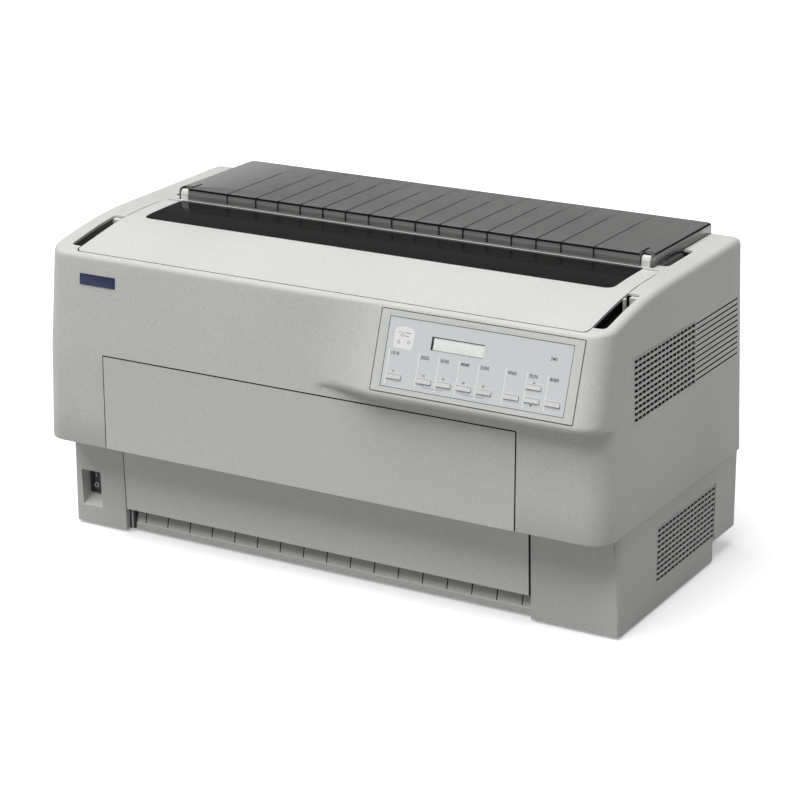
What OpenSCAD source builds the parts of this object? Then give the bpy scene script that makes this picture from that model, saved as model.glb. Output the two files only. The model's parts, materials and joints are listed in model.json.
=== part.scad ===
// Wide serial impact printer: a lower housing with two front blocks, an upper housing with a
// slanted control panel, a hinged top cover with a tinted window, a smoked paper guide, a front
// cover and a rear door that fold down, and the printing mechanism between them.
// X runs to the right as seen from the front, Y to the rear, Z up. The origin is the middle of
// the footprint, on the surface that the printer stands on.

/* [Upper housing] */
// Width at the seam between the two housings
case_w = 700; // [690:1:730]
// Depth from the front face to the rear face
case_d = 357; // [352:1:375]
// Height of the top above the seam, where the top starts to fall towards the front
crown_h = 239.5; // [237:0.5:250]
// Wall thickness of the mouldings
wall = 3; // [2.5:0.1:3.5]
// How far each side leans in from the seam to the top
side_draft = 8; // [4:0.5:10]
// How far the rear face leans in
rear_lean = 3; // [1:0.5:5]
// Radius of the upright corners at the front
corner_r = 27; // [22:1:32]
// Radius of the upright corners at the rear
rear_corner_r = 12; // [9:1:14]
// Radius of the edge round the top
rim_r = 7; // [6:0.5:8]
// Height of the upright part of the front face
belt_h = 109; // [104:1:112]
// How far the front face leans in above its upright part
face_lean = 7; // [4:0.5:9]
// Radius of the arch where the top falls towards the front
crown_r = 520; // [480:10:560]
// Slope of the top behind the front edge, in degrees
nose_slope = 11.2; // [10:0.2:12]
// Rise of the top towards the rear, in degrees
rear_rise = 0.9; // [0.4:0.1:1.4]

/* [Lower housing] */
// Height of the lower housing
base_h = 116; // [112:1:122]
// Height of the rubber feet
foot_h = 3; // [2:0.5:5]
// Radius of the rubber feet
foot_r = 14; // [10:1:16]
// Step in from the upper housing at each side
side_step = 5; // [3:0.5:8]
// Step back from the upper housing at the front
front_step = 44; // [40:1:48]
// How far the lower housing stands out at the rear
rear_step = 4; // [2:0.5:6]
// How far the foot of the front face lies behind its top edge
toe_lean = 5; // [2:0.5:7]
// Radius of its upright corners
base_corner_r = 10; // [6:1:14]
// Width of the left front block
left_block_w = 70; // [66:1:76]
// Width of the right front block
right_block_w = 101.5; // [98:0.5:106]
// Depth of the paper passage between the blocks
passage_d = 31; // [29:1:34]
// Height of the step under the rear
heel_h = 22.8; // [18:0.2:26]
// Length of the step under the rear
heel_d = 68; // [60:1:74]

/* [Front] */
// Distance from the left side of the printer to the front cover
cover_margin_left = 86; // [82:1:96]
// Distance from the right side of the printer to the front cover
cover_margin_right = 103; // [99:1:113]
// Height of the front cover
front_cover_h = 108; // [100:1:108]
// Height of the paper slot under the lower front panel
slot_h = 26; // [22:1:30]
// Height of the plain lip at the foot of the paper sill
lip_h = 7; // [5:1:9]
// Spacing of the ribs on the paper sill
sill_pitch = 30.2; // [28:0.1:34]

/* [Control panel] */
// How far the panel stands out in front of the front face
panel_reach = 21; // [17:0.5:24]
// Height of the panel's lower edge above the seam
panel_lift = 130; // [128:1:134]
// Distance from the right side of the printer to the panel
panel_margin = 30; // [28:1:34]
// Width of the panel
panel_w = 232; // [222:1:236]
// Length of the blend to the left of the panel
blend_w = 83; // [60:1:100]
// Height of the blend's root above the seam
root_h = 119; // [116:1:122]
// Gap between neighbouring key caps
key_gap = 5.5; // [5:0.1:7]
// Height of a key cap
key_h = 4.6; // [4:0.2:6]
// How far a key moves when it is pressed
key_travel = 0.8; // [0.5:0.1:1]
// Width of the display
display_w = 60.5; // [54:0.5:64]
// Height of the display
display_h = 14; // [12:0.5:16]

/* [Power switch] */
// Width of the pocket round the switch
pocket_w = 26.5; // [25.5:0.5:28]
// Height of the pocket
pocket_h = 46; // [43:1:48]
// Depth of the pocket
pocket_d = 16; // [14:1:18]
// Width of the rocker
rocker_w = 17; // [14:0.5:18]
// Height of the rocker
rocker_h = 24; // [22:0.5:26]

/* [Top] */
// Sideways offset of the cover, window and guide from the middle of the printer
deck_x = 6; // [3:0.5:8]
// Width of the housing beside the top cover
cover_band = 39; // [38:0.5:44]
// Thickness of the top cover
cover_t = 3; // [2.5:0.1:3.5]
// Distance from the side of the cover to the tinted window
window_band = 20; // [16:1:30]
// Depth of the tinted window
window_d = 73; // [66:1:80]
// Thickness of the tinted window
window_t = 2.5; // [2:0.1:2.5]
// Length of the finger slots beside the cover
slot_len = 85; // [75:1:90]
// Width of the finger slots
slot_w = 15; // [13:0.5:16]
// Depth of the finger slots
slot_d = 16; // [12:1:18]
// How much the paper guide is narrower than the cover at each side
guide_band = 12; // [10:0.5:16]
// Height of the guide above the top of the housing
guide_h = 14; // [12.5:0.5:16]
// Spacing of the fins under the guide
fin_pitch = 29.6; // [28:0.2:32]
// Length of the finger recesses beside the guide
recess_len = 68; // [60:1:76]
// Width of the finger recesses beside the guide
recess_w = 12; // [10:0.5:13]

/* [Vents] */
// Spacing of the vent rows
row_pitch = 6.2; // [6:0.1:6.5]
// Height of a vent row
row_h = 3.2; // [2.6:0.1:3.8]
// Spacing of the slanted holes along a row
hole_pitch = 9.5; // [9:0.1:10]
// Width of a slanted hole
hole_w = 6.6; // [5.6:0.1:7]
// Rows of the upper vent
upper_rows = 11; // [8:1:11]
// Slanted holes in a row of the upper vent
upper_holes = 16; // [10:1:17]
// Length of the closed grooves behind the holes
groove_len = 115; // [90:1:118]
// Rows of the lower vent
lower_rows = 10; // [7:1:10]
// Slanted holes in a row of the lower vent
lower_holes = 16; // [12:1:16]

/* [Mechanism] */
// Distance from the sides of the printer to the steel side frames
frame_band = 60; // [58:1:65]
// Thickness of the side frames
frame_t = 2.5; // [2:0.1:3]
// Radius of the carriage's guide shafts
shaft_r = 6; // [5:0.5:7]
// Distance between the guide shafts
shaft_gap = 58; // [54:1:60]
// Radius of the drive pulleys' belt track
pulley_r = 11; // [9:0.5:12]
// Width of the carriage
carriage_w = 56; // [50:1:64]
// Depth of the platen bar
platen_d = 20; // [16:1:22]
// Height of the platen bar
platen_h = 30; // [26:1:34]
// Radius of the paper feed shafts
feed_r = 6; // [5:0.5:6.5]
// Radius of the tractors' pin wheels
wheel_r = 15; // [13:0.5:16]
// Pins on a pin wheel
wheel_pins = 8; // [6:1:9]
// Side of the cooling fan
fan_size = 80; // [70:1:84]

/* [Fits] */
// Gap round fixed and hinged panels
seam_gap = 0.5; // [0.4:0.1:0.8]
// Radial clearance of bores that turn or slide
run_fit = 0.06; // [0.03:0.01:0.09]
// Radius of the hinge pins
pin_r = 2.5; // [2:0.25:2.75]

/* [Hidden] */
$fn = 48;
eps = 0.02;
cut = 5;

// Widths that follow the width of the printer
cover_w = case_w - 2 * cover_band;
window_w = cover_w - 2 * window_band;
guide_w = cover_w - 2 * guide_band;
frame_w = case_w - 2 * frame_band;
front_cover_w = case_w - cover_margin_left - cover_margin_right;
front_cover_x = (cover_margin_left - cover_margin_right) / 2;
door_w = case_w - 180;
rear_slot_w = door_w - 60;
panel_right = case_w / 2 - panel_margin;
panel_left = panel_right - panel_w;

// Planes and levels
front_y = panel_reach - (panel_reach + case_d + rear_step) / 2;
case_rear_y = front_y + case_d;
base_rear_y = case_rear_y + rear_step;
base_front_y = front_y + front_step;
seam_z = foot_h + base_h;
deck_z = seam_z + crown_h;
belt_z = seam_z + belt_h;
base_x = case_w / 2 - side_step;
base_wall = wall + 0.5;
floor_z = foot_h + base_wall;

// Line of the top, from the front edge over an arch to the rear
crown_y = -15;
crown_steps = 5;
arch_y = crown_y + crown_r * sin(rear_rise);
arch_z = deck_z - crown_r * cos(rear_rise);
function arch_point(a) = [arch_y - crown_r * sin(a), arch_z + crown_r * cos(a)];
arch_span = nose_slope - rear_rise;
nose_point = arch_point(nose_slope);
arch_points = [for (i = [crown_steps : -1 : 0]) arch_point(rear_rise + arch_span * i / crown_steps)];
nose_run = 80;
rear_run = 220;
crown_table = concat(
    [[nose_point[0] - nose_run, nose_point[1] - nose_run * tan(nose_slope)]],
    arch_points,
    [[crown_y + rear_run, deck_z + rear_run * tan(rear_rise)]]
);
function crown_z(y) = lookup(y, crown_table);
function half_w(z) = case_w / 2 - side_draft * (z - seam_z) / crown_h;

// Centres of the rounded edge at the front and rear of the top
rim_y = front_y + face_lean + rim_r;
rim_z = crown_z(rim_y) - rim_r / cos(nose_slope);
back_y = case_rear_y - rear_lean - rim_r;
back_z = crown_z(back_y) - rim_r / cos(rear_rise);

// Control panel: the lip is its rounded lower edge
lip_y = front_y - panel_reach + rim_r;
lip_z = seam_z + panel_lift;
root_z = seam_z + root_h;
panel_lean = atan2(rim_y - lip_y, rim_z - lip_z);
panel_len = norm([rim_y - lip_y, rim_z - lip_z]);
face_y = lip_y - rim_r * cos(panel_lean);
face_z = lip_z + rim_r * sin(panel_lean);
panel_t = 4;
overlay_margin = 11;
overlay_low = 7;
overlay_high = panel_len - 7.5;
overlay_t = 0.8;
key_row = 18.5;
key_upper_row = key_row + 13.5;
key_first = 25.3;
key_last = panel_w - 25.7;
group_gap = 12;
second_gap = 8;
both_gaps = group_gap + second_gap;
key_pitch = (key_last - key_first - both_gaps) / 7;
key_w = key_pitch - key_gap;
key_places = [
    [0, 0], [key_pitch + group_gap, 0], [2 * key_pitch + group_gap, 0],
    [3 * key_pitch + group_gap, 0], [4 * key_pitch + group_gap, 0], [5 * key_pitch + both_gaps, 0],
    [6 * key_pitch + both_gaps, 1], [6 * key_pitch + both_gaps, 0], [7 * key_pitch + both_gaps, 0]
];
key_proud = 1.2;
display_x = panel_left + 0.2694 * panel_w;
display_v = 51.5;
board_t = 1.6;
board_back = 13;

// Top: cover, window, guide
hinge_y = 15;
hinge_z = crown_z(hinge_y) - pin_r - 1.2;
cover_rear = hinge_y + pin_r;
cover_front = rim_y;
cover_half = cover_w / 2;
window_half = window_w / 2;
window_rear = cover_rear - 0.5;
window_front = window_rear - window_d;
ledge_w = 5;
bar_front = hinge_y + 5.2;
guide_front = bar_front + 5;
well_front = guide_front + 0.6;
well_rear = back_y - 1;
guide_rear = back_y + 3;
guide_half = guide_w / 2;
guide_top = crown_z(guide_front) + guide_h;
guide_low = crown_z(guide_front) + 1;
guide_t = 2.5;
guide_round = 5;
lug_w = 10;
lug_gap = 1;
lug_out = guide_half - guide_t - lug_gap;
lug_in = lug_out - lug_w;
lug_pin_r = 2;
fin_t = 1.6;
fin_len = 118;
fins_half = 7;
fin_places = concat(
    [for (i = [-fins_half : fins_half - 1]) (i + 0.5) * fin_pitch],
    [for (side = [-1, 1]) side * (fins_half + 0.8) * fin_pitch]
);
pivot_y = guide_front + 6;
pivot_z = crown_z(guide_front) + 7.5;
chute_top = crown_z(well_front) - 3;
chute_d = 15;
slot_front = cover_front + 11;
recess_front = well_front + 12;

// Front cover, door and passage
passage_left = -base_x + left_block_w;
passage_right = base_x - right_block_w;
passage_y = base_front_y + passage_d;
front_axis_y = front_y + 7.5;
front_axis_z = seam_z + 6;
front_swing = norm([front_axis_y - front_y, front_axis_z - seam_z]);
ear_t = 4;
pin_len = 6;
rear_slot_h = 11;
door_low = seam_z + 26;
door_h = 170;
door_axis_y = case_rear_y - 7;
door_axis_z = door_low + 6;
heel_z = foot_h + heel_h;
ports_x = base_x - 195;
ports_z = seam_z - 62;
ports_w = 150;
ports_h = 34;
inlet_x = -base_x + 40;
inlet_z = seam_z - 58;
inlet_w = 34;
inlet_h = 26;
heel_y = base_rear_y - heel_d;

// Power switch pocket in the left block
pocket_x = -base_x + 10.5 + pocket_w / 2;
pocket_z = foot_h + 19;
pocket_ramp = 12;
pocket_back = base_front_y + 3 + pocket_d;
switch_z = pocket_z + pocket_ramp + (pocket_h - pocket_ramp) / 2;
rocker_y = pocket_back + 5;
rocker_pin_r = 1.5;

// Vents in the right side
upper_vent_y = front_y + 71;
upper_vent_z = seam_z + 112;
lower_vent_y = front_y + 142;
lower_vent_z = foot_h + 28;
vent_margin = 3;
upper_vent_len = upper_holes * hole_pitch + groove_len;
draft_angle = atan(side_draft / crown_h);

// Mechanism
frame_in = frame_w / 2;
frame_low = floor_z;
frame_top = deck_z - 38;
shaft_z = deck_z - 96;
shaft_front_y = -96;
shaft_rear_y = shaft_front_y + shaft_gap;
platen_y = 4;
platen_z = shaft_z + 22;
carriage_low = shaft_z - 12;
carriage_top = shaft_z + 16;
head_z = platen_z + platen_h / 2;
belt_t = 1.5;
belt_w = 8;
belt_gap = 0.3;
belt_y = (shaft_front_y + shaft_rear_y) / 2;
belt_low = carriage_low - 6.4 - belt_w;
pulley_x = frame_in - 28;
spindle_r = 3;
motor_r = 28;
motor_h = 46;
travel = pulley_x - carriage_w / 2 - pulley_r - 3;
front_tractor_y = front_y + 45;
front_tractor_z = seam_z + 66;
rear_tractor_y = case_rear_y - 62;
rear_tractor_z = seam_z + 106;
rod_r = 5;
rod_drop = 30;
tractor_gap = 14;
cheek_t = 4;
tractor_x = frame_w / 2 - 120;
feed_motor_len = 24;
fan_t = 25;
fan_y = -20;
fan_z = seam_z + 112 + 34;
fan_out = half_w(fan_z + fan_size / 2) - wall - 0.3;

// Shared helpers

// Solid with a side outline, reaching from x0 to x1
module along_x(x0, x1) {
    translate([x0, 0, 0]) rotate([90, 0, 90]) linear_extrude(x1 - x0) children();
}

// Round bar along X
module bar_x(x0, x1, y, z, r) {
    translate([x0, y, z]) rotate([0, 90, 0]) cylinder(r = r, h = x1 - x0);
}

function between(y0, y1) = concat(
    [y0],
    [for (p = crown_table) if (p[0] > y0 + eps && p[0] < y1 - eps) p[0]],
    [y1]
);

// Strip that follows the line of the top, between two depths under it
module crown_strip(x0, x1, y0, y1, drop_top, drop_low) {
    ys = between(y0, y1);
    last = len(ys) - 1;
    top = [for (y = ys) [y, crown_z(y) - drop_top]];
    low = [for (i = [last : -1 : 0]) [ys[i], crown_z(ys[i]) - drop_low]];
    along_x(x0, x1) polygon(concat(top, low));
}

// Upright prism with rounded corners
module round_prism(x0, x1, y0, y1, z0, z1, r) {
    translate([0, 0, z0]) linear_extrude(z1 - z0) round_rect(x0, x1, y0, y1, r);
}

module round_rect(x0, x1, y0, y1, r) {
    for (x = [x0 + r, x1 - r], y = [y0 + r, y1 - r]) translate([x, y]) circle(r = r);
    translate([x0 + r, y0]) square([x1 - x0 - 2 * r, y1 - y0]);
    translate([x0, y0 + r]) square([x1 - x0, y1 - y0 - 2 * r]);
}

// Places children on the panel's face: X along it, Y up its slope, Z out of it
module on_panel() {
    translate([0, face_y, face_z]) rotate([90 - panel_lean, 0, 0]) children();
}

// Upper housing form

// Ring that rounds an upright corner and the top edge together
module corner_ring(x, y, z, slope, inset, radius) {
    reach = radius - rim_r;
    translate([x, y, z]) rotate([slope, 0, 0]) rotate_extrude($fn = 32) intersection() {
        translate([reach, 0]) circle(r = rim_r - inset, $fn = 24);
        translate([0, -rim_r]) square([radius, 2 * rim_r]);
    }
}

// Cross-section of the top at one depth, with rounded edges
module crown_slice(y, inset) {
    z = crown_z(y) - rim_r;
    x = half_w(z) - rim_r;
    r = rim_r - inset;
    right = [for (a = [0 : 15 : 90]) [x + r * cos(a), z + r * sin(a)]];
    left = [for (a = [90 : 15 : 180]) [-x + r * cos(a), z + r * sin(a)]];
    translate([0, y, 0]) rotate([90, 0, 0]) linear_extrude(eps, center = true)
        polygon(concat(right, left));
}

// Convex body of the upper housing, drawn in on all sides by the inset
module case_form(inset, low) {
    reach = corner_r - rim_r;
    back = rear_corner_r;
    hull() {
        for (side = [-1, 1]) {
            translate([side * (case_w / 2 - corner_r), front_y + corner_r, low])
                cylinder(r = corner_r - inset, h = eps, $fn = 32);
            translate([side * (case_w / 2 - back), case_rear_y - back, low])
                cylinder(r = back - inset, h = eps, $fn = 32);
            translate([side * (half_w(belt_z) - corner_r), front_y + corner_r, belt_z])
                cylinder(r = corner_r - inset, h = eps, $fn = 32);
            corner_ring(side * (half_w(rim_z) - corner_r), rim_y + reach * cos(nose_slope),
                rim_z + reach * sin(nose_slope), nose_slope, inset, corner_r);
            corner_ring(side * (half_w(back_z) - back), back_y - back + rim_r, back_z, 0, inset, back);
        }
        for (p = arch_points) crown_slice(p[0], inset);
    }
}

// Bulge that carries the control panel and fades out to its left and round the corner
module bulge(inset) {
    reach = corner_r - rim_r;
    skin = 0.25;
    rim_fn = 24;
    hull() {
        bar = rim_r - inset;
        translate([panel_left - blend_w, rim_y - skin, rim_z]) rotate([0, 90, 0])
            cylinder(r = bar, h = half_w(rim_z) - corner_r - panel_left + blend_w, $fn = rim_fn);
        translate([panel_left, lip_y, lip_z]) rotate([0, 90, 0])
            cylinder(r = bar, h = half_w(lip_z) - corner_r - panel_left, $fn = rim_fn);
        corner_ring(half_w(lip_z) - corner_r - skin, lip_y + reach, lip_z, 0, inset, corner_r);
        corner_ring(half_w(rim_z) - corner_r - skin, rim_y + reach - skin, rim_z, 0, inset, corner_r);
        translate([half_w(root_z) - corner_r - skin, front_y + corner_r - skin, root_z])
            cylinder(r = corner_r - inset, h = eps, $fn = 32);
        translate([panel_left - blend_w, front_y + inset, root_z]) cube([eps, corner_r, eps]);
    }
}

// Solid cut away for the front cover
module front_mouth() {
    half = front_cover_w / 2 + seam_gap;
    translate([front_cover_x - half, front_y - cut, seam_z - cut])
        cube([2 * half, front_swing + cut + 8, front_cover_h + seam_gap + cut + 0.5]);
}

// Finger slot or recess: its tray, or the space inside it
module tray(x0, x1, y0, y1, depth) {
    crown_strip(x0 - wall / 2, x1 + wall / 2, y0 - wall / 2, y1 + wall / 2, wall / 2, depth + 2);
}

module tray_space(x0, x1, y0, y1, depth) {
    intersection() {
        crown_strip(x0, x1, y0, y1, -cut, depth);
        round_prism(x0, x1, y0, y1, seam_z, guide_top + cut, min(6, recess_w / 2 - 0.5));
    }
}

module slot_trays(space) {
    for (side = [-1, 1]) {
        inner = deck_x + side * (cover_half - (space ? 6 : 0));
        outer = deck_x + side * (cover_half + slot_w);
        x0 = min(inner, outer);
        x1 = max(inner, outer);
        if (space) tray_space(x0, x1, slot_front, slot_front + slot_len, slot_d);
        else tray(x0, x1, slot_front, slot_front + slot_len, slot_d);
        a = deck_x + side * (guide_half - (space ? 6 : 0));
        b = deck_x + side * (guide_half + seam_gap + recess_w);
        if (space) tray_space(min(a, b), max(a, b), recess_front, recess_front + recess_len, 10);
        else tray(min(a, b), max(a, b), recess_front, recess_front + recess_len, 10);
    }
}

module upper_case() color("gainsboro") {
    plate_x = base_x - 8;
    half = front_cover_w / 2 + seam_gap;
    door_half = door_w / 2 + seam_gap;
    door_foot = door_axis_z - norm([case_rear_y - door_axis_y, door_axis_z - door_low]) - seam_gap;
    difference() {
        union() {
            difference() {
                union() {
                    case_form(0, seam_z);
                    bulge(0);
                }
                case_form(wall, seam_z + wall);
                bulge(wall);
            }
            slot_trays(false);
            // Brackets for the cover's hinge pins
            for (side = [-1, 1])
                translate([deck_x + side * (cover_half + 5) - 4, hinge_y - 7, hinge_z - 7])
                    cube([8, 13, crown_z(hinge_y) - hinge_z + 6]);
            // Brackets for the front cover's hinge pins
            for (side = [-1, 1])
                translate([front_cover_x + side * (half + 5) - 4.5, front_y + 1, seam_z])
                    cube([9, 12, 13]);
            // Brackets for the rear door's hinge pins
            for (side = [-1, 1])
                translate([side * (door_half + 5) - 4.5, door_axis_y - 6, door_axis_z - 6])
                    cube([9, case_rear_y - door_axis_y + 4.5, 12]);
        }
        // Opening under the top cover
        intersection() {
            round_prism(deck_x - cover_half - seam_gap, deck_x + cover_half + seam_gap,
                cover_front - seam_gap, bar_front + 20, deck_z - 60, guide_top + cut, 8);
            crown_strip(-case_w, case_w, cover_front - seam_gap, bar_front, -cut, 40);
        }
        // Well under the paper guide
        translate([deck_x - guide_half - seam_gap, well_front, deck_z - 40])
            cube([guide_w + 2 * seam_gap, well_rear - well_front, 60]);
        slot_trays(true);
        front_mouth();
        // Opening behind the control panel
        on_panel() translate([panel_left, 0.5, -wall - 3])
            cube([panel_w, panel_len - 1, wall + 3 + cut]);
        // Window for the vent grille
        translate([case_w / 2 - 30, upper_vent_y - vent_margin, upper_vent_z - vent_margin])
            cube([40, upper_vent_len + 2 * vent_margin, upper_rows * row_pitch + 2 * vent_margin]);
        // Way through to the lower housing
        translate([-plate_x, base_front_y + base_wall, seam_z - cut])
            cube([2 * plate_x, case_rear_y - base_front_y - base_wall - 10, wall + 2 * cut]);
        // Rear door and the paper slot under it
        translate([-door_half, case_rear_y - 12, door_foot])
            cube([2 * door_half, 20, door_low + door_h + seam_gap - door_foot]);
        translate([-rear_slot_w / 2, case_rear_y - 12, seam_z + 5]) cube([rear_slot_w, 20, rear_slot_h]);
        // Hinge bores
        bar_x(deck_x - cover_half - 10, deck_x + cover_half + 10, hinge_y, hinge_z, pin_r + run_fit);
        bar_x(front_cover_x - half - 10.5, front_cover_x + half + 10.5, front_axis_y, front_axis_z,
            pin_r + run_fit);
        bar_x(-door_half - 11, door_half + 11, door_axis_y, door_axis_z, pin_r + run_fit);
    }
    // Ledges that the top cover rests on
    ledge_y0 = slot_front + slot_len + 6;
    for (side = [-1, 1]) {
        edge = deck_x + side * cover_half;
        crown_strip(edge - ledge_w, edge + ledge_w, ledge_y0, hinge_y - 12, cover_t + 0.3, cover_t + 2.5);
        outer = edge + side * (seam_gap + ledge_w) / 2;
        crown_strip(outer - 2, outer + 2, ledge_y0, hinge_y - 12, wall / 2, cover_t + 2.5);
    }
    crown_strip(deck_x - cover_half + 20, deck_x + cover_half - 20, cover_front - 3, cover_front + 4,
        cover_t + 0.3, cover_t + 2.5);
}

// Lower housing

function base_side(i, top) = [
    [base_front_y + toe_lean + i, foot_h + i], [base_front_y + i, seam_z + top],
    [base_rear_y - i, seam_z + top], [base_rear_y - i, heel_z + i],
    [heel_y - i, heel_z + i], [heel_y - i, foot_h + i]
];

module base_body(inset, top) {
    intersection() {
        along_x(-base_x + inset, base_x - inset) polygon(base_side(inset, top));
        round_prism(-base_x + inset, base_x - inset, base_front_y + inset, base_rear_y - inset,
            0, seam_z + cut, base_corner_r - inset);
    }
}

module passage_box(inset) {
    translate([passage_left - inset, base_front_y - cut, 0])
        cube([passage_right - passage_left + 2 * inset, passage_d + cut + inset, seam_z + cut]);
}

// Space of the switch pocket, with a ramp up to the rocker
module pocket_space() {
    y0 = base_front_y - cut;
    slope = pocket_ramp / pocket_d;
    along_x(pocket_x - pocket_w / 2, pocket_x + pocket_w / 2) polygon([
        [y0, pocket_z - cut * slope], [pocket_back, pocket_z + pocket_ramp],
        [pocket_back, pocket_z + pocket_h], [y0, pocket_z + pocket_h]
    ]);
}

module base_tub() color("darkgray") {
    hole_x = rocker_w / 2 + 3;
    difference() {
        union() {
            difference() {
                base_body(0, 0);
                difference() {
                    base_body(base_wall, cut);
                    passage_box(base_wall);
                }
            }
            // Walls of the switch pocket
            intersection() {
                base_body(0, 0);
                translate([pocket_x - pocket_w / 2 - wall, base_front_y, pocket_z - wall])
                    cube([pocket_w + 2 * wall, pocket_back + wall - base_front_y, pocket_h + 2 * wall]);
            }
        }
        passage_box(0);
        pocket_space();
        translate([pocket_x - hole_x, pocket_back - 1, switch_z - rocker_h / 2 - 3])
            cube([2 * hole_x, wall + 2, rocker_h + 6]);
        translate([base_x - 15, lower_vent_y - vent_margin, lower_vent_z - vent_margin])
            cube([20, lower_holes * hole_pitch + 2 * vent_margin, lower_rows * row_pitch + 2 * vent_margin]);
        // Openings for the connectors and the power inlet
        translate([ports_x, base_rear_y - 10, ports_z]) cube([ports_w, 20, ports_h]);
        translate([inlet_x, base_rear_y - 10, inlet_z]) cube([inlet_w, 20, inlet_h]);
    }
}

module feet() color("dimgray") {
    inset = foot_r + 16;
    for (side = [-1, 1], y = [base_front_y + toe_lean + inset, heel_y - inset])
        translate([side * (base_x - inset), y, 0]) cylinder(r = foot_r, h = foot_h);
}

// Vents

// Row pattern of slanted holes, in the plane of the side wall
module vent_plate(rows, holes, groove) {
    len_y = holes * hole_pitch + groove;
    len_z = rows * row_pitch;
    slant = row_h * 0.7;
    rim = vent_margin - 0.2;
    linear_extrude(wall) difference() {
        translate([-rim, -rim]) square([len_y + 2 * rim, len_z + 2 * rim]);
        for (r = [0 : rows - 1], h = [0 : holes - 1])
            translate([h * hole_pitch + 0.4, (r + 0.5) * row_pitch - row_h / 2])
                polygon([[0, 0], [hole_w, 0], [hole_w + slant, row_h], [slant, row_h]]);
    }
}

// Grooves that carry the rows on over the closed part of the vent
module vent_grooves(rows, y0, len_y) {
    for (r = [0 : rows - 1])
        translate([y0, (r + 0.5) * row_pitch - 0.7, wall - 1.2]) cube([len_y, 1.4, cut]);
}

module grille_upper() color("gray") {
    x = half_w(upper_vent_z) - wall;
    translate([x, upper_vent_y, upper_vent_z]) rotate([0, -draft_angle, 0]) rotate([90, 0, 90])
        difference() {
            vent_plate(upper_rows, upper_holes, groove_len);
            vent_grooves(upper_rows, upper_holes * hole_pitch + 2, groove_len - 2);
        }
}

module grille_lower() color("gray") {
    translate([base_x - wall, lower_vent_y, lower_vent_z]) rotate([90, 0, 90])
        vent_plate(lower_rows, lower_holes, 0);
}

// Front pieces

module lower_panel() color("silver") {
    y0 = base_front_y + 1;
    lean = toe_lean / base_h;
    low = foot_h + slot_h;
    top = seam_z - 0.3;
    shift = function(z) (seam_z - z) * lean;
    along_x(passage_left + seam_gap, passage_right - 3) polygon([
        [y0 + shift(low), low], [y0 + shift(top), top],
        [y0 + shift(top) + wall, top], [y0 + shift(low) + wall, low]
    ]);
    for (x = [passage_left + seam_gap, passage_right - 3 - wall])
        along_x(x, x + wall) polygon([
            [y0 + shift(top) + 1, top], [y0 + shift(top) + 1, top - 16],
            [passage_y - 0.3, top - 16], [passage_y - 0.3, top]
        ]);
}

module front_sill() color("lightgray") {
    lip_y0 = base_front_y + 14;
    top = foot_h + 45;
    lean = 0.26;
    z1 = foot_h + lip_h;
    y_top = lip_y0 + (top - z1) * lean;
    x0 = passage_left + seam_gap;
    x1 = passage_right - seam_gap;
    t = 2.5;
    along_x(x0, x1) polygon([
        [lip_y0, foot_h], [lip_y0, z1], [y_top, top], [y_top + t, top],
        [lip_y0 + t, z1], [lip_y0 + t, foot_h + t], [passage_y - 0.2, foot_h + t],
        [passage_y - 0.2, foot_h]
    ]);
    ribs = floor((x1 - x0 - 20) / sill_pitch);
    start = x0 + (x1 - x0 - (ribs - 1) * sill_pitch) / 2;
    for (i = [0 : ribs - 1])
        along_x(start + i * sill_pitch - 0.6, start + i * sill_pitch + 0.6) polygon([
            [lip_y0 - 0.9, z1 + 1], [y_top - 0.9, top], [y_top + 1, top], [lip_y0 + 1, z1 + 1]
        ]);
}

module front_cover() color("silver") {
    half = front_cover_w / 2;
    x0 = front_cover_x - half;
    x1 = front_cover_x + half;
    z0 = seam_z + 0.5;
    top = seam_z + front_cover_h;
    t = wall;
    difference() {
        union() {
            translate([x0, front_y, z0]) cube([front_cover_w, t, top - z0]);
            // Turned edges that stiffen the panel
            translate([x0 + 12, front_y + t - eps, top - t]) cube([front_cover_w - 24, 7, t]);
            for (x = [x0 + 12, x1 - 12 - t])
                translate([x, front_y + t - eps, z0 + 16]) cube([t, 7, top - z0 - 16]);
            // Ears that carry the hinge pins
            for (x = [x0, x1 - ear_t]) {
                translate([x, front_y + t - eps, front_axis_z - pin_r - 1.5])
                    cube([ear_t, front_axis_y - front_y - t, 2 * pin_r + 3]);
                bar_x(x, x + ear_t, front_axis_y, front_axis_z, pin_r + 1.5);
            }
            bar_x(x0 - pin_len, x0 + ear_t / 2, front_axis_y, front_axis_z, pin_r);
            bar_x(x1 - ear_t / 2, x1 + pin_len, front_axis_y, front_axis_z, pin_r);
        }
        // Finger notch in the top edge
        notch = front_cover_w / 6.4;
        translate([front_cover_x - notch / 2, front_y + t - eps, top - t - 1]) cube([notch, 8, t + 2]);
    }
}

module rear_door() color("gray") {
    half = door_w / 2;
    top = door_low + door_h;
    lean = rear_lean / crown_h;
    y_at = function(z) case_rear_y - (z - seam_z) * lean;
    along_x(-half, half) polygon([
        [y_at(door_low), door_low], [y_at(top), top], [y_at(top) - wall, top],
        [y_at(door_low) - wall, door_low]
    ]);
    for (side = [-1, 1]) {
        x = side * (half - ear_t / 2) - ear_t / 2;
        translate([x, door_axis_y, door_axis_z - pin_r - 1.5])
            cube([ear_t, y_at(door_axis_z) - door_axis_y - 1, 2 * pin_r + 3]);
        bar_x(x, x + ear_t, door_axis_y, door_axis_z, pin_r + 1.5);
        reach = side * (half + pin_len);
        bar_x(min(x + 1, reach), max(x + ear_t - 1, reach), door_axis_y, door_axis_z, pin_r);
    }
    // Ribs across the inside of the door
    for (i = [-4 : 4])
        along_x(i * half / 4.6 - 1, i * half / 4.6 + 1) polygon([
            [y_at(door_low + 20) - 1, door_low + 20], [y_at(top - 12) - 1, top - 12],
            [y_at(top - 12) - 7, top - 12], [y_at(door_low + 20) - 7, door_low + 20]
        ]);
}

// Control panel

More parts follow.
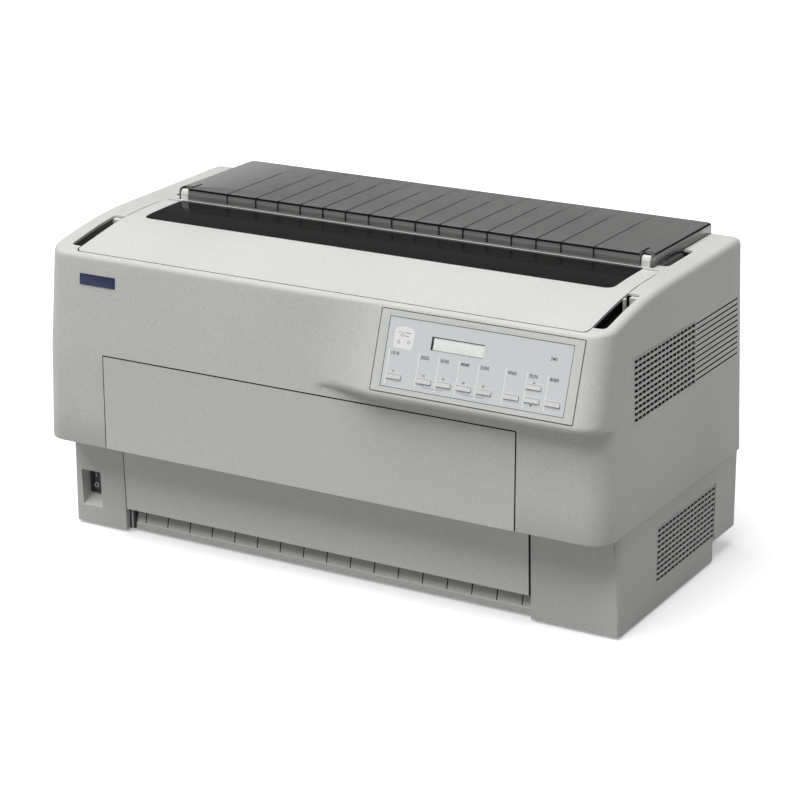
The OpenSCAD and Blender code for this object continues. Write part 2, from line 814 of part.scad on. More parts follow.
module panel_frame() color("gainsboro") on_panel() {
    top = panel_len - 0.5 - 0.3;
    overlay_x = panel_left + overlay_margin;
    difference() {
        union() {
            translate([panel_left + 0.3, 0.8, -panel_t]) cube([panel_w - 0.6, top - 0.8, panel_t]);
            // Flange behind the wall of the housing
            translate([panel_left - 4, 8, -wall - 0.3 - 2]) cube([panel_w + 4.5, panel_len - 20, 2]);
            // Posts of the circuit board
            for (x = [panel_left + 16, panel_right - 16], v = [12, panel_len - 16])
                translate([x, v, -board_back]) cylinder(r = 3, h = board_back - panel_t + 1);
        }
        translate([overlay_x, overlay_low, -overlay_t])
            cube([panel_w - 2 * overlay_margin, overlay_high - overlay_low, cut]);
        translate([display_x, display_v, -2 * panel_t])
            cube([display_w, display_h, 2 * panel_t + cut]);
        for (i = [0 : len(key_places) - 1]) key_hole(i, 0.35);
    }
}

module at_key(i) {
    x = panel_left + key_first + key_places[i][0];
    v = key_places[i][1] > 0 ? key_upper_row : key_row;
    translate([x, v, 0]) children();
}

module key_hole(i, gap) {
    at_key(i) translate([0, 0, -2 * panel_t])
        round_prism(-key_w / 2 - gap, key_w / 2 + gap, -key_h / 2 - gap, key_h / 2 + gap,
            0, 2 * panel_t + cut, 1);
}

module panel_overlay() color("lightsteelblue") on_panel() {
    difference() {
        translate([panel_left + overlay_margin + 0.2, overlay_low + 0.2, -overlay_t])
            cube([panel_w - 2 * overlay_margin - 0.4, overlay_high - overlay_low - 0.4, overlay_t - 0.2]);
        translate([display_x, display_v, -cut]) cube([display_w, display_h, 2 * cut]);
        for (i = [0 : len(key_places) - 1]) key_hole(i, 0.35);
    }
}

module key(i) color("white") on_panel() at_key(i) {
    round_prism(-key_w / 2, key_w / 2, -key_h / 2, key_h / 2, -panel_t - 1, key_proud, 0.9);
    // Collar that keeps the cap behind the frame
    back = panel_t < wall + 2.3 ? wall + 2.3 : panel_t;
    translate([-key_w / 2 - 1.2, -key_h / 2 - 1.2, -back - 0.3 - 1.2])
        cube([key_w + 2.4, key_h + 2.4, 1.2]);
    translate([-key_w / 2, -key_h / 2, -back - 0.4]) cube([key_w, key_h, back]);
}

module panel_board() color("darkgreen") on_panel() {
    translate([panel_left + 8, 6, -board_back - board_t])
        cube([panel_w - 16, panel_len - 16, board_t]);
    // Key switches
    for (i = [0 : len(key_places) - 1])
        at_key(i) translate([-3, -key_h / 2, -board_back])
            cube([6, key_h, board_back - wall - 2.3 - 1.5 - key_travel - 0.4]);
    translate([display_x - 3, display_v - 4, -board_back])
        cube([display_w + 6, display_h + 8, board_back - panel_t - 1.8]);
}

module display() color("honeydew") on_panel() {
    translate([display_x + 0.2, display_v + 0.2, -panel_t - 1])
        cube([display_w - 0.4, display_h - 0.4, panel_t - 0.8]);
}

// Power switch

module switch_housing() color("dimgray") {
    x_in = rocker_w / 2 + 0.3;
    z_in = rocker_h / 2 + 1.2;
    depth = 24;
    difference() {
        union() {
            translate([pocket_x - x_in - 2.2, pocket_back + 0.2, switch_z - z_in - 1.5])
                cube([2 * x_in + 4.4, depth, 2 * z_in + 3]);
            translate([pocket_x - x_in - 3.4, pocket_back - 1.6, switch_z - z_in - 2.4])
                cube([2 * x_in + 6.8, 1.5, 2 * z_in + 4.8]);
            translate([pocket_x - x_in - 2.2, pocket_back - 0.3, switch_z - z_in - 1.5])
                cube([2 * x_in + 4.4, 1, 2 * z_in + 3]);
        }
        translate([pocket_x - x_in, pocket_back - cut, switch_z - z_in]) cube([2 * x_in, 18, 2 * z_in]);
        bar_x(pocket_x - x_in - 1.8, pocket_x + x_in + 1.8, rocker_y, switch_z, rocker_pin_r + run_fit);
    }
}

module power_rocker() color("black") {
    half = rocker_h / 2;
    face = -6.8;
    along_x(pocket_x - rocker_w / 2, pocket_x + rocker_w / 2) polygon([
        for (p = [[face, -half], [face + 1.6, 0], [face, half], [3, half - 3], [3, 3 - half]])
            [rocker_y + p[0], switch_z + p[1]]
    ]);
    bar_x(pocket_x - rocker_w / 2 - 1.6, pocket_x + rocker_w / 2 + 1.6, rocker_y, switch_z, rocker_pin_r);
}

// Top pieces

module top_cover() color("whitesmoke") {
    x0 = deck_x - cover_half;
    x1 = deck_x + cover_half;
    flange = 9;
    difference() {
        union() {
            intersection() {
                crown_strip(x0, x1, cover_front, cover_rear, 0, cover_t);
                round_prism(x0, x1, cover_front, cover_rear + 20, seam_z, guide_top, 8);
            }
            // Seat under the window
            crown_strip(deck_x - window_half - 4, deck_x + window_half + 4, window_front - 4,
                cover_rear, cover_t - 0.1, cover_t + 1.6);
        }
        crown_strip(deck_x - window_half - 0.2, deck_x + window_half + 0.2, window_front - 0.2,
            cover_rear + cut, -cut, cover_t);
        crown_strip(deck_x - window_half + 5, deck_x + window_half - 5, window_front + 5,
            window_rear - 8, -cut, 2 * cover_t + cut);
    }
    for (side = [-1, 1]) {
        // Turned edge beside the hinge, with its pin
        x = side > 0 ? x1 - 3 : x0;
        crown_strip(x, x + 3, hinge_y - 8, cover_rear, cover_t - 0.1, flange);
        a = deck_x + side * (cover_half - 2);
        b = deck_x + side * (cover_half + 7);
        bar_x(min(a, b), max(a, b), hinge_y, hinge_z, pin_r);
        // Turned edge along the side of the cover
        crown_strip(x + (side > 0 ? -ledge_w - 1 : ledge_w + 1), x + (side > 0 ? -ledge_w + 1 : ledge_w + 3),
            cover_front + 14, window_front - 8, cover_t - 0.1, flange);
    }
    crown_strip(x0 + 30, x1 - 30, cover_front + 8, cover_front + 10, cover_t - 0.1, flange - 2);
}

module top_window() color("black") {
    crown_strip(deck_x - window_half, deck_x + window_half, window_front, window_rear,
        0.1, min(window_t, cover_t - 0.1));
}

module exit_chute() color("slategray") {
    half = guide_half + seam_gap - 0.4;
    low = chute_top - chute_d;
    difference() {
        translate([deck_x - half, well_front + 0.3, low])
            cube([2 * half, well_rear - well_front - 0.6, chute_d]);
        translate([deck_x - half + 12, well_front + 16, low + 2])
            cube([2 * half - 24, well_rear - well_front - 19, chute_d]);
        // Slot that the paper comes up through
        translate([deck_x - window_half + 20, well_front + 4, low - cut])
            cube([window_w - 40, 12 + eps, chute_d + 2 * cut]);
    }
}

module guide_lugs() color("whitesmoke") {
    back = pivot_y + 4;
    for (side = [-1, 1]) {
        x = deck_x + side * (lug_in + lug_out) / 2 - lug_w / 2;
        translate([x, guide_front + 1.2, chute_top])
            cube([lug_w, back - guide_front - 1.2, pivot_z - chute_top]);
        bar_x(x, x + lug_w, pivot_y, pivot_z, 4);
        bar_x(x - 3, x + lug_w + 3, pivot_y, pivot_z, lug_pin_r);
    }
}

module paper_guide() color("dimgray") {
    half = guide_half;
    x0 = deck_x - half;
    x1 = deck_x + half;
    notch = lug_gap;
    side_low = crown_z(guide_rear) + 0.6;
    profile = concat(
        [[guide_front, guide_low]],
        [for (a = [180 : -15 : 90]) [guide_front + guide_round + guide_round * cos(a),
            guide_top - guide_round + guide_round * sin(a)]],
        [[guide_rear, guide_top], [guide_rear, guide_top - guide_t]],
        [for (a = [90 : 15 : 180]) [guide_front + guide_round + (guide_round - guide_t) * cos(a),
            guide_top - guide_round + (guide_round - guide_t) * sin(a)]],
        [[guide_front + guide_t, guide_low]]
    );
    side = [
        [guide_front, guide_low], [guide_front, guide_top - guide_round],
        [guide_front + guide_round, guide_top - 0.1], [guide_rear, guide_top - 0.1],
        [guide_rear, side_low], [guide_front + 30, side_low]
    ];
    difference() {
        union() {
            along_x(x0, x1) polygon(profile);
            for (x = [x0, x1 - guide_t]) along_x(x, x + guide_t) polygon(side);
            // Fins under the plate
            for (x = fin_places)
                translate([deck_x + x - fin_t / 2, guide_front + 1, 0]) along_x(0, fin_t) polygon([
                    [0, guide_low], [0, guide_top - guide_round], [guide_round, guide_top - 1],
                    [fin_len, guide_top - 1], [fin_len, guide_low + 0.5]
                ]);
        }
        // Notches for the lugs
        for (s = [-1, 1]) {
            x = deck_x + s * (lug_in + lug_out) / 2 - lug_w / 2 - notch;
            translate([x, guide_front - cut, guide_low - cut])
                cube([lug_w + 2 * notch, cut + pivot_y + 5.5 - guide_front, guide_h + 2 * cut]);
        }
        for (s = [-1, 1]) {
            c = deck_x + s * (lug_in + lug_out) / 2;
            bar_x(c - lug_w / 2 - 3.2, c + lug_w / 2 + 3.2, pivot_y, pivot_z, lug_pin_r + run_fit);
        }
    }
    // Cheeks beside the lugs, on the inside
    for (s = [-1, 1]) {
        a = deck_x + s * (lug_in - notch);
        b = deck_x + s * (lug_in - notch - 3);
        difference() {
            along_x(min(a, b), max(a, b)) polygon([
                [guide_front + 1, guide_low], [guide_front + 1, guide_top - guide_round],
                [guide_front + guide_round, guide_top - 1], [guide_front + 26, guide_top - 1],
                [guide_front + 16, guide_low]
            ]);
            bar_x(min(a, b) - 1, max(a, b) + 1, pivot_y, pivot_z, lug_pin_r + run_fit);
        }
    }
}

// Mechanism

module side_plate(x0) {
    low = frame_low + 0.2;
    front = shaft_front_y - 44;
    back = rear_tractor_y + 28;
    difference() {
        along_x(x0, x0 + frame_t) polygon([
            [passage_y, low], [heel_y - base_wall - 2, low], [heel_y - base_wall - 2, heel_z + 30],
            [back, seam_z + 20], [back, seam_z + 130], [platen_y + platen_d + 24, frame_top],
            [shaft_front_y - 10, frame_top], [front, seam_z + 120], [front, seam_z + 16],
            [passage_y, seam_z - 10]
        ]);
        bar_x(x0 - 1, x0 + frame_t + 1, shaft_front_y, shaft_z, shaft_r + 0.02);
        bar_x(x0 - 1, x0 + frame_t + 1, shaft_rear_y, shaft_z, shaft_r + 0.02);
        for (p = [[front_tractor_y, front_tractor_z], [rear_tractor_y, rear_tractor_z]]) {
            bar_x(x0 - 1, x0 + frame_t + 1, p[0], p[1], feed_r + run_fit);
            bar_x(x0 - 1, x0 + frame_t + 1, p[0], p[1] - rod_drop, rod_r + 0.02);
        }
        // Lightening holes
        for (p = [[-50, 60], [30, 60]]) bar_x(x0 - 1, x0 + frame_t + 1, p[0], p[1], 24);
        bar_x(x0 - 1, x0 + frame_t + 1, -10, seam_z + 70, 30);
    }
}

module side_frame_left() color("silver") {
    side_plate(deck_x - frame_in - frame_t);
}

module side_frame_right() color("silver") {
    side_plate(deck_x + frame_in);
    // Bracket and post of the belt's idler
    x = deck_x + pulley_x;
    translate([x - 12, belt_y - 16, belt_low - 8]) cube([frame_in - pulley_x + 12 + eps, 32, 3]);
    translate([x, belt_y, belt_low - 6]) cylinder(r = spindle_r, h = belt_w + 8);
}

module platen() color("dimgray") {
    x0 = deck_x - frame_in + 0.1;
    x1 = deck_x + frame_in - 0.1;
    along_x(x0, x1) polygon([
        [platen_y, platen_z], [platen_y, platen_z + platen_h - 4],
        [platen_y + 4, platen_z + platen_h], [platen_y + platen_d, platen_z + platen_h],
        [platen_y + platen_d, platen_z + 10], [platen_y + platen_d - 8, platen_z]
    ]);
}

module guide_shaft(y) {
    bar_x(deck_x - frame_in - frame_t, deck_x + frame_in + frame_t, y, shaft_z, shaft_r);
}

module guide_shaft_front() color("lightgray") guide_shaft(shaft_front_y);

module guide_shaft_rear() color("lightgray") guide_shaft(shaft_rear_y);

module carriage() color("gray") {
    half = carriage_w / 2;
    difference() {
        union() {
            along_x(deck_x - half, deck_x + half) polygon([
                [shaft_front_y - 11, carriage_low], [shaft_rear_y + 11, carriage_low],
                [shaft_rear_y + 11, carriage_top - 4], [shaft_rear_y + 7, carriage_top],
                [shaft_front_y - 7, carriage_top], [shaft_front_y - 11, carriage_top - 4]
            ]);
            // Clamp over the belt
            translate([deck_x - 12, belt_y + pulley_r - 4, carriage_low - 6])
                cube([24, 10, 6 + eps]);
        }
        bar_x(deck_x - half - 1, deck_x + half + 1, shaft_front_y, shaft_z, shaft_r + run_fit);
        bar_x(deck_x - half - 1, deck_x + half + 1, shaft_rear_y, shaft_z, shaft_r + run_fit);
    }
}

module print_head() color("black") {
    back = shaft_rear_y + 4;
    nose = platen_y - 1;
    translate([deck_x - 18, shaft_front_y + 8, carriage_top]) cube([36, back - shaft_front_y - 8, 8]);
    // Cooling fins
    for (i = [0 : 6])
        translate([deck_x - 20, shaft_front_y + 14 + i * 7, carriage_top + 8 - eps])
            cube([40, 3, head_z + 12 - carriage_top - 8]);
    translate([deck_x - 14, shaft_front_y + 12, carriage_top + 4])
        cube([28, back - shaft_front_y - 14, head_z + 6 - carriage_top - 4]);
    // Nose that carries the pins up to the platen
    along_x(deck_x - 8, deck_x + 8) polygon([
        [back - 6, carriage_top + 2], [back - 6, head_z + 6], [nose - 8, head_z + 5],
        [nose, head_z + 3], [nose, head_z - 5], [nose - 14, head_z - 10]
    ]);
}

module ribbon_cartridge() color("black") {
    x0 = deck_x - frame_in + 0.3;
    x1 = deck_x + frame_in - 0.3;
    y0 = shaft_front_y - 40;
    y1 = shaft_front_y - 14;
    z0 = carriage_top + 2;
    difference() {
        round_prism(x0, x1, y0, y1, z0, z0 + 20, 6);
        for (i = [-5 : 5]) translate([deck_x + i * 42 - 14, y0 + 5, z0 + 18.8]) cube([28, 16, 2]);
    }
    // Tension knob
    translate([x0 + 22, (y0 + y1) / 2, z0 + 20 - eps]) cylinder(r = 8, h = 5);
}

module motor_block(len) {
    round_prism(-motor_r, motor_r, -motor_r, motor_r, -len, 0, 6);
}

module carriage_motor() color("dimgray") {
    x = deck_x - pulley_x;
    z = belt_low - 8;
    difference() {
        union() {
            translate([x, belt_y, z]) motor_block(motor_h);
            translate([deck_x - frame_in + 0.1, belt_y - motor_r, z - eps])
                cube([frame_in - pulley_x + motor_r, 2 * motor_r, 3]);
        }
        translate([x, belt_y, z - 20]) cylinder(r = spindle_r + run_fit, h = 40);
    }
}

module pulley_rim() {
    cylinder(r = pulley_r, h = belt_w);
    translate([0, 0, -1.5]) cylinder(r = pulley_r + 3.5, h = 1.5);
}

module pulley_drive() color("silver") {
    translate([deck_x - pulley_x, belt_y, belt_low]) {
        pulley_rim();
        translate([0, 0, -20]) cylinder(r = spindle_r, h = 24);
    }
}

module pulley_idler() color("silver") {
    difference() {
        translate([deck_x + pulley_x, belt_y, belt_low]) pulley_rim();
        translate([deck_x + pulley_x, belt_y, belt_low - 5])
            cylinder(r = spindle_r + run_fit, h = belt_w + 10);
    }
}

module carriage_belt() color("black") {
    r0 = pulley_r + belt_gap;
    r1 = r0 + belt_t;
    translate([deck_x, belt_y, belt_low + 0.4]) linear_extrude(belt_w - 0.8) difference() {
        belt_outline(r1);
        belt_outline(r0);
    }
}

module belt_outline(r) {
    for (side = [-1, 1]) translate([side * pulley_x, 0]) circle(r = r);
    translate([-pulley_x, -r]) square([2 * pulley_x, 2 * r]);
}

// Paper feed

module tractor_rod(y, z) {
    bar_x(deck_x - frame_in - frame_t, deck_x + frame_in + frame_t, y, z - rod_drop, rod_r);
}

module tractor_rod_front() color("lightgray") tractor_rod(front_tractor_y, front_tractor_z);

module tractor_rod_rear() color("lightgray") tractor_rod(rear_tractor_y, rear_tractor_z);

module feed_shaft(y, z) {
    bar_x(deck_x - frame_in - frame_t - 3, deck_x + frame_in + frame_t + 12, y, z, feed_r);
    bar_x(deck_x - frame_in - frame_t - 5, deck_x - frame_in - frame_t - 0.3, y, z, feed_r + 3);
}

module feed_shaft_front() color("silver") feed_shaft(front_tractor_y, front_tractor_z);

module feed_shaft_rear() color("silver") feed_shaft(rear_tractor_y, rear_tractor_z);

module feed_motor(y, z) {
    x = deck_x + frame_in + frame_t;
    r = 21;
    difference() {
        translate([x + 0.1, y, z]) rotate([0, 90, 0]) cylinder(r = r, h = feed_motor_len);
        bar_x(x - 1, x + 14, y, z, feed_r + run_fit);
    }
}

module feed_motor_front() color("dimgray") feed_motor(front_tractor_y, front_tractor_z);

module feed_motor_rear() color("dimgray") feed_motor(rear_tractor_y, rear_tractor_z);

// Tractor: two cheeks joined by a bridge, with the pin wheel between them
module tractor(x, y, z, face) {
    half = tractor_gap / 2 + cheek_t;
    difference() {
        union() {
            for (side = [-1, 1]) {
                c = x + side * (tractor_gap / 2 + cheek_t / 2);
                along_x(c - cheek_t / 2, c + cheek_t / 2) polygon([
                    [y - 12, z - rod_drop - 10], [y + 12, z - rod_drop - 10], [y + 12, z + 16],
                    [y + 8, z + 20], [y - 8, z + 20], [y - 12, z + 16]
                ]);
            }
            translate([x - half, y - 8, z - rod_drop - 10]) cube([2 * half, 16, 17]);
            translate([x - half, y + (face > 0 ? -12 : 9), z + wheel_r + 1.5 - 4])
                cube([2 * half, 3, 6]);
        }
        bar_x(x - half - 1, x + half + 1, y, z, feed_r + 3.5);
        bar_x(x - half - 1, x + half + 1, y, z - rod_drop, rod_r + run_fit);
        bar_x(x - tractor_gap / 2, x + tractor_gap / 2, y, z, wheel_r + 4);
    }
}

module pin_wheel(x, y, z) {
    half = tractor_gap / 2 - 0.5;
    tooth_len = 2.6;
    difference() {
        union() {
            bar_x(x - half, x + half, y, z, wheel_r);
            for (i = [0 : wheel_pins - 1])
                translate([x, y, z]) rotate([i * 360 / wheel_pins, 0, 0])
                    translate([0, 0, wheel_r - 1]) cylinder(r = 1.8, h = tooth_len + 1);
        }
        bar_x(x - half - 1, x + half + 1, y, z, feed_r + run_fit);
    }
}

module tractor_front(side) color("darkslategray")
    tractor(deck_x + side * tractor_x, front_tractor_y, front_tractor_z, -1);

module tractor_rear(side) color("darkslategray")
    tractor(deck_x + side * tractor_x, rear_tractor_y, rear_tractor_z, 1);

module wheel_front(side) color("whitesmoke")
    pin_wheel(deck_x + side * tractor_x, front_tractor_y, front_tractor_z);

module wheel_rear(side) color("whitesmoke")
    pin_wheel(deck_x + side * tractor_x, rear_tractor_y, rear_tractor_z);

// Electrics

module fan_frame() color("black") {
    r = fan_size / 2 - 3;
    x = fan_out - fan_t;
    difference() {
        translate([x, fan_y - fan_size / 2, fan_z - fan_size / 2]) cube([fan_t, fan_size, fan_size]);
        bar_x(x - 1, fan_out + 1, fan_y, fan_z, r);
    }
    // Hub and its four struts
    difference() {
        translate([x + 0.5, fan_y, fan_z]) rotate([90, 0, 90]) linear_extrude(2.5) {
            circle(r = 16);
            for (a = [45 : 90 : 315]) rotate(a) translate([12, -2]) square([r - 11, 4]);
        }
        bar_x(x - 1, x + 4, fan_y, fan_z, spindle_r + run_fit);
    }
}

module fan_rotor() color("dimgray") {
    x = fan_out - fan_t + 3.5;
    bar_x(x - 3.2, x + 1, fan_y, fan_z, spindle_r);
    bar_x(x, x + 17, fan_y, fan_z, 15);
    for (a = [0 : 360 / 7 : 359])
        translate([x, fan_y, fan_z]) rotate([a, 0, 0])
            translate([9, 0, 12]) rotate([0, 0, 35])
                translate([-0.8, -8, 0]) cube([1.6, 16, fan_size / 2 - 18]);
}

module power_supply() color("silver") {
    x0 = deck_x + frame_in + frame_t + 3.5;
    translate([x0, passage_y + 10, floor_z + 0.2]) cube([base_x - base_wall - x0 - 4, 120, 78]);
    translate([x0 + 4, passage_y + 14, floor_z + 78]) cube([base_x - base_wall - x0 - 12, 112, 3]);
}

module main_board() color("darkgreen") {
    y0 = passage_y + base_wall + 20;
    y1 = heel_y - base_wall - 10;
    x0 = passage_left + 10;
    x1 = passage_right - 30;
    translate([x0, y0, floor_z + 8]) cube([x1 - x0, y1 - y0, 1.6]);
    for (x = [x0 + 8, (x0 + x1) / 2, x1 - 8], y = [y0 + 8, y1 - 8])
        translate([x, y, floor_z]) cylinder(r = 3.5, h = 8.1);
    for (i = [0 : 4])
        translate([x0 + 40 + i * (x1 - x0 - 80) / 4.5, y0 + 40, floor_z + 9.5]) cube([36, 36, 5]);
}

module rear_ports() color("dimgray") {
    gap = 0.2;
    // Connector plate with its sockets
    back = base_rear_y - base_wall;
    translate([ports_x + gap, back, ports_z + gap]) cube([ports_w - 2 * gap, 2, ports_h - 2 * gap]);
    translate([ports_x + 12, back - 8, ports_z + 8]) cube([62, 11.3, 17]);
    translate([ports_x + 88, back - 8, ports_z + 10]) cube([14, 11, 13]);
    translate([ports_x + 112, back - 8, ports_z + 10]) cube([26, 11.2, 12]);
    // Power inlet
    difference() {
        translate([inlet_x + gap, base_rear_y - 24, inlet_z + gap])
            cube([inlet_w - 2 * gap, 23.5, inlet_h - 2 * gap]);
        translate([inlet_x + 5, base_rear_y - 16, inlet_z + 5]) cube([inlet_w - 10, 20, inlet_h - 10]);
    }
    for (i = [0 : 2])
        translate([inlet_x + 9 + i * 7, base_rear_y - 17, inlet_z + (i == 1 ? 14 : 11)]) cube([2, 13, 5]);
}

base_tub();
upper_case();
grille_upper();
grille_lower();
lower_panel();
front_sill();
feet();
panel_frame();
panel_overlay();
panel_board();
display();
key(0);  // key_1
key(1);  // key_2
key(2);  // key_3
key(3);  // key_4
key(4);  // key_5
key(5);  // key_6
key(6);  // key_7
key(7);  // key_8
key(8);  // key_9
switch_housing();
power_rocker();
front_cover();
rear_door();
rear_ports();
top_cover();
top_window();
exit_chute();
guide_lugs();
paper_guide();
side_frame_left();
side_frame_right();
platen();
guide_shaft_front();
guide_shaft_rear();
carriage();
print_head();
ribbon_cartridge();
carriage_motor();
pulley_drive();
pulley_idler();
carriage_belt();
tractor_rod_front();
tractor_rod_rear();
feed_shaft_front();
feed_shaft_rear();
feed_motor_front();
feed_motor_rear();
tractor_front(-1);  // tractor_front_left
tractor_front(1);  // tractor_front_right
tractor_rear(-1);  // tractor_rear_left
tractor_rear(1);  // tractor_rear_right
wheel_front(-1);  // wheel_front_left
wheel_front(1);  // wheel_front_right
wheel_rear(-1);  // wheel_rear_left
wheel_rear(1);  // wheel_rear_right
fan_frame();
fan_rotor();
power_supply();
main_board();
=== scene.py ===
"""Looks of a wide serial impact printer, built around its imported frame.

Lengths are written in millimetres in the frame's axes (X right, Y to the rear, Z up) and turned
into metres where a mesh is made. Each new shape is a grid or a profile carried along a path,
worked out with numpy.
"""

import json
import logging
import math
from dataclasses import dataclass, field, replace
from enum import Enum

import bmesh
import bpy
import numpy as np
from mathutils import Matrix


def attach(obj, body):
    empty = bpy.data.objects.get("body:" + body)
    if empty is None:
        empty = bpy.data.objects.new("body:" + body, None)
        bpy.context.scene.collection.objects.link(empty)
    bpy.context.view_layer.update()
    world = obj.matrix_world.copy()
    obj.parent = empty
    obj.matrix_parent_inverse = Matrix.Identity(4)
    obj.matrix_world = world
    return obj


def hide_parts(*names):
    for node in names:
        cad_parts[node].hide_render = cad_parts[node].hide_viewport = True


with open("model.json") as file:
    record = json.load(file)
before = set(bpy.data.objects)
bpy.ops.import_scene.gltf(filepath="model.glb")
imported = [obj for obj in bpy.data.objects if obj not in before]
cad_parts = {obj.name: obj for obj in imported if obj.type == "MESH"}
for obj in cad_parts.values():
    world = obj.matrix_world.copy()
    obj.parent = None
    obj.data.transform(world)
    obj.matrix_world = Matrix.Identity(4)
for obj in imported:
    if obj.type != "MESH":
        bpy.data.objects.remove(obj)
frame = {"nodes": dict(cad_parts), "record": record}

LOG = logging.getLogger("printer")
MM = 0.001
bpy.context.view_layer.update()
Triple = Colour = tuple[float, float, float]
Socket = bpy.types.NodeSocket

# Height where the upper housing starts, and its rise from there to the end of the top's arch
LOW, RISE = 119.0, 239.5
# Leans of its plain front and of its control panel, in degrees
FRONT_LEAN, PANEL_LEAN = 3.85, 18.65


# ---- shapes ----


@dataclass
class Place:
    """A local frame in space: an origin and three unit axes."""

    origin: Triple
    right: Triple
    up: Triple
    out: Triple

    def map(self, points: np.ndarray) -> np.ndarray:
        """Local points to space: origin + x right + y up + z out."""
        axes = np.array([self.right, self.up, self.out], float)
        return np.asarray(points, float) @ axes + np.array(self.origin, float)

    def moved(self, x: float, y: float, z: float = 0.0) -> "Place":
        """The same axes about another local point."""
        origin = self.map(np.array([x, y, z]))
        return Place(tuple(origin), self.right, self.up, self.out)


class Facing(Enum):
    """Ready-made axes for pieces that look along a main direction."""

    TOP = ((1, 0, 0), (0, 1, 0), (0, 0, 1))
    FRONT = ((1, 0, 0), (0, 0, 1), (0, -1, 0))
    REAR = ((-1, 0, 0), (0, 0, 1), (0, 1, 0))

    def at(self, x: float, y: float, z: float) -> Place:
        """A place with these axes and its origin at x, y, z."""
        return Place((x, y, z), *self.value)


def leaning(origin: Triple, lean: float) -> Place:
    """A place on a front face that leans back by an angle in radians."""
    c, s = math.cos(lean), math.sin(lean)
    return Place(origin, (1.0, 0.0, 0.0), (0.0, s, c), (0.0, -c, s))


def circle(steps: int) -> np.ndarray:
    """Angles once round, evenly spaced."""
    return np.linspace(0, 2 * math.pi, steps, endpoint=False)


def lifted(plan: np.ndarray, heights: tuple[float, ...]) -> np.ndarray:
    """Rings that repeat a plan (points, 2) at several heights."""
    return np.stack([np.column_stack([plan, np.full(len(plan), z)]) for z in heights])


def carried(side: np.ndarray, places: tuple[float, ...] | list[float]) -> np.ndarray:
    """Rings that repeat a side view (points, 2) of Y and Z at several X."""
    return np.stack([np.column_stack([np.full(len(side), x), side]) for x in places])


def linked(name: str, data: bpy.types.ID) -> bpy.types.Object:
    """A new object of the data, linked to the scene."""
    obj = bpy.data.objects.new(name, data)
    bpy.context.scene.collection.objects.link(obj)
    return obj


